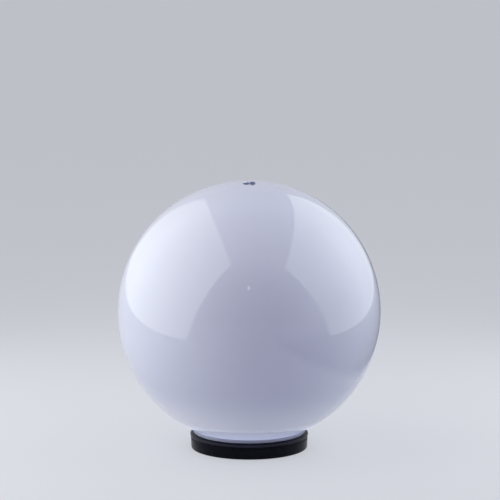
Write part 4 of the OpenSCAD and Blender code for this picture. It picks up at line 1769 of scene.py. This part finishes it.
@dataclass
class Lamp(Assembly):
    """The screw lamp: cap, housing, diffuser, light chips and driver. Sizes in millimetres.

    Attributes:
        contact: Lowest and highest point of the centre contact.
        cap_low: Lower end of the cap.
        cap_top: Upper end of the cap.
        cap: Inner and outer radius of the cap.
        flare_low: Height at which the housing starts to widen.
        seam: Radius and height of the seam between housing and diffuser.
        neck: Radius of the housing's neck.
        spigot: Inner and outer radius of the housing inside the cap.
        wall: Wall of the housing.
        dome: Radius of the diffuser.
        dome_z: Height of its centre.
        board: Lower and upper face of the light board, and its radius.
        chip: Length, width and height of a light chip, and radius of the chips' ring.
        chip_count: Number of light chips.
        driver: Half width and thickness of the driver's board, and its lower and upper end.
    """

    contact: Point = (30.2, 31.1)
    cap_low: float = 34.5
    cap_top: float = 54.0
    cap: Point = (12.7, 13.1)
    flare_low: float = 57.0
    seam: Point = (25.249, 92.0)
    neck: float = 14.5
    spigot: Point = (11.0, 11.8)
    wall: float = 1.6
    dome: float = 30.0
    dome_z: float = 108.2
    board: Triple = (90.5, 92.0, 22.1)
    chip: tuple[float, float, float, float] = (2.8, 3.5, 0.7, 15.0)
    chip_count: int = 12
    driver: tuple[float, float, float, float] = (10.8, 1.2, 40.0, 78.0)

    def flare(self, line: Outline, inset: float, start: float, end: float, steps: int) -> None:
        """Adds the housing's curved outline to a section.

        Args:
            line: The section.
            inset: How far inside the housing's outside it runs.
            start: Height of its first point.
            end: Height of its last point.
            steps: Number of steps.
        """
        wide, tall = self.seam[0] - self.neck, self.seam[1] - self.flare_low
        bend = (wide ** 2 + tall ** 2) / (2 * wide)
        radius = bend + inset
        ends = [180.0 - math.degrees(math.asin((z - self.flare_low) / radius)) for z in (start, end)]
        line.arc(self.neck + bend, self.flare_low, radius, *ends, steps)

    def build_cap(self) -> None:
        """Makes the cap with its rolled thread, the insulator and the soldered contact."""
        inner, outer = self.cap
        step = LAMP_PITCH / 12
        line = Outline().to(inner, self.cap_low, 0.1).to(outer, self.cap_low, 0.3)
        line.run(outer, self.cap_top, step).run(inner, self.cap_top, 1.0).run(inner, self.cap_low + 0.3, step)
        thing = line.turned("bulb_cap_shell", 128)
        self.threads.use(thing, NICKEL, Pitch=LAMP_PITCH, Depth=ROLLED_DEPTH, Low=36.6, High=52.4,
                         Fade=1.0, Inner=inner - 0.1, Outer=outer + 0.1, Crest=ROLLED_CREST)
        self.seat(thing, NICKEL, "bulb_cap", Body.LAMP)
        low, plug, plug_top = 31.2, 12.6, self.cap_low + 2.0
        line = Outline().to(0.0, low).to(4.9, low, 0.2).to(5.2, low + 0.35, 0.2).to(6.5, low + 0.1, 0.4)
        line.to(9.4, low + 1.5, 0.5).to(plug, self.cap_low - 0.3, 0.4)
        line.to(plug, plug_top, 0.3).to(0.0, plug_top)
        self.seat(line.turned("bulb_insulator_glass", 96), CAP_GLASS, "bulb_insulator", Body.LAMP)
        base, button = self.contact
        line = Outline().to(0.0, base).run(1.6, base + 0.02, 0.4).run(3.2, base + 0.16, 0.4)
        line.to(4.5, base + 0.45, 0.3).to(4.8, button - 0.2, 0.2).to(4.6, button, 0.1).to(0.0, button)
        self.seat(line.turned("bulb_contact_tin", 64), TIN, "bulb_contact", Body.LAMP_CONTACT)

    def build_housing(self) -> None:
        """Makes the flared housing with its collar and seam step."""
        spigot_in, spigot = self.spigot
        foot, shoulder, step = self.cap_top - 8.0, self.cap_top + 0.02, self.neck - 0.3
        seam_r, seam_z = self.seam
        line = Outline().to(spigot_in, foot, 0.2).to(spigot, foot, 0.2).to(spigot, shoulder, 0.2)
        line.to(self.neck, shoulder, 0.4).to(self.neck, self.cap_top + 1.4, 0.1)
        line.to(step, self.cap_top + 1.6, 0.1).to(step, self.cap_top + 2.0, 0.1)
        line.to(self.neck, self.cap_top + 2.2, 0.1)
        self.flare(line, 0.0, self.flare_low, seam_z - 0.5, 44)
        line.to(seam_r - 0.55, seam_z - 0.3, 0.1).to(seam_r - 0.55, seam_z, 0.1)
        self.flare(line, self.wall, seam_z, self.flare_low + 0.1, 36)
        floor = self.cap_top + self.wall
        line.to(self.neck - self.wall, floor, 0.4).to(spigot_in, floor, 0.3)
        self.seat(line.turned("bulb_housing_flare", 128), LAMP_PLASTIC, "bulb_housing", Body.LAMP)

    def build_diffuser(self) -> None:
        """Makes the frosted dome."""
        inner, drop = self.dome - self.wall, self.seam[1] - self.dome_z
        cut, cut_in = (math.degrees(math.asin(drop / radius)) for radius in (self.dome, inner))
        line = Outline().arc(0.0, self.dome_z, inner, 90.0, cut_in, 56)
        line.arc(0.0, self.dome_z, self.dome, cut, 90.0, 72)
        self.seat(line.turned("bulb_diffuser_dome", 128), DIFFUSER, "bulb_diffuser", Body.LAMP)

    def build_light(self) -> None:
        """Makes the heat cup and the light board."""
        low, high, radius = self.board
        gap, sheet, foot = self.wall + 0.1, 1.0, 60.0
        line = Outline().to(0.0, low - sheet)
        self.flare(line, gap + sheet, low - sheet, foot, 30)
        self.flare(line, gap, foot, high - 1.5, 30)
        self.seat(line.to(0.0, low).turned("heat_cup_metal", 96), ALUMINIUM, "heat_cup", Body.LAMP)
        line = Outline().to(0.0, low + 0.01).to(radius, low + 0.01, 0.15).to(radius, high, 0.15).to(0.0, high)
        board = line.turned("led_board_disc", 128)
        for x, y in thirds(7.0, 0.0):
            carve(board, rod("hole", x, y, 1.3, (low - 1.0, high + 1.0), sides=32))
        self.seat(board, BOARD_WHITE, "led_board", Body.LAMP)

    def build_chips(self) -> None:
        """Makes the light chips: white frames, and yellow windows in their wells."""
        high = self.board[1]
        length, width, rise, ring = self.chip
        frame = box("led_chip_frames", (ring - length / 2, ring + length / 2), (-width / 2, width / 2),
                    (high, high + rise))
        well = box("well", (ring - 1.1, ring + 1.1), (-1.4, 1.4), (high + 0.45, high + 2.0), 0.5)
        carve(soften(frame, 0.08), well)
        self.seat(frame, BOARD_WHITE, "led_chips", Body.LAMP, self.chip_count)
        window = box("led_chip_windows", (ring - 1.08, ring + 1.08), (-1.38, 1.38),
                     (high + 0.46, high + 0.62), 0.5)
        self.seat(soften(window, 0.05), PHOSPHOR, "led_chips", Body.LAMP, self.chip_count)

    def build_driver(self) -> None:
        """Makes the upright board in the housing's neck and the parts on it."""
        half, sheet, low, high = self.driver
        face = sheet / 2
        board = box("driver_board_laminate", (-half, half), (-face, face), (low, high), 1.0, Axis.Y)
        for x, z in ((-8.0, high - 3.0), (8.0, high - 3.0), (-8.0, low + 3.0), (8.0, low + 3.0)):
            carve(board, rod("via", x, z, 0.6, (-2.0, 2.0), Axis.Y, 24))
        self.seat(soften(board, 0.1), BOARD_GREEN, "driver_board", Body.LAMP)
        can = Outline().to(0.0, 0.0).to(2.9, 0.0, 0.3).to(3.2, 0.5, 0.2).to(3.2, 1.0, 0.1).to(2.95, 1.3, 0.15)
        can.to(3.2, 1.6, 0.1).to(3.2, 11.6, 0.4).to(2.6, 12.0, 0.1).to(2.5, 11.8, 0.1).to(0.0, 11.8)
        coil = Outline().to(0.0, 64.45)
        for k in range(12):
            coil.arc(2.5, 64.75 + k * 0.5, 0.25, -80.0, 80.0, 4)
        coil.to(0.0, 70.55)
        resistor = Outline().to(0.0, 0.0).to(1.0, 0.0, 0.3).to(1.2, 0.5, 0.2).to(1.2, 1.0, 0.1)
        resistor.to(1.05, 1.3, 0.1).to(1.05, 2.7, 0.1)
        resistor.to(1.2, 3.0, 0.1).to(1.2, 3.5, 0.2).to(1.0, 4.0, 0.3).to(0.0, 4.0)
        flange_y = (-face - 6.0, -face)
        flanges = [soften(box("flange", (-4.0, 4.0), flange_y, (z, z + 1.4)), 0.2) for z in (63.0, 70.6)]
        pieces = [
            placed(can.turned("can", 48), shift(-1.5, face + 3.2, 61.0)),
            *flanges,
            placed(coil.turned("coil", 48), shift(0.0, -face - 3.0)),
            soften(box("bridge", (-3.0, 3.0), (face + 0.05, face + 2.4), (41.5, 46.5)), 0.25),
            placed(resistor.turned("resistor", 32), shift(5.5, -face - 1.2, 58.0)),
        ]
        self.seat(joined("driver_parts_group", pieces), DRIVER_DARK, "driver_parts", Body.LAMP)

    def build(self) -> None:
        """Makes the lamp."""
        self.build_cap()
        self.build_housing()
        self.build_diffuser()
        self.build_light()
        self.build_chips()
        self.build_driver()


def joined(name: str, things: Sequence[Thing]) -> Thing:
    """Makes one piece of several meshes that don't touch.

    Args:
        name: Name of the piece.
        things: The meshes, which are removed.

    Returns:
        The piece.
    """
    work = bmesh.new()
    for thing in things:
        work.from_mesh(thing.data)
        bpy.data.objects.remove(thing)
    mesh = bpy.data.meshes.new(name)
    work.to_mesh(mesh)
    work.free()
    return linked(name, mesh)


def main() -> None:
    """Loads the frame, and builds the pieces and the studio."""
    logging.basicConfig(level=logging.INFO, format="%(name)s: %(message)s")
    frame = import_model()
    recipes = (thread_recipe(), ring_recipe())
    for assembly in (Globe, Base, Holder, Lamp):
        assembly(*recipes).build()
    Studio().build(Vector((0.0, 0.0, Globe.centre * MM)))


if __name__ == "__main__":
    main()
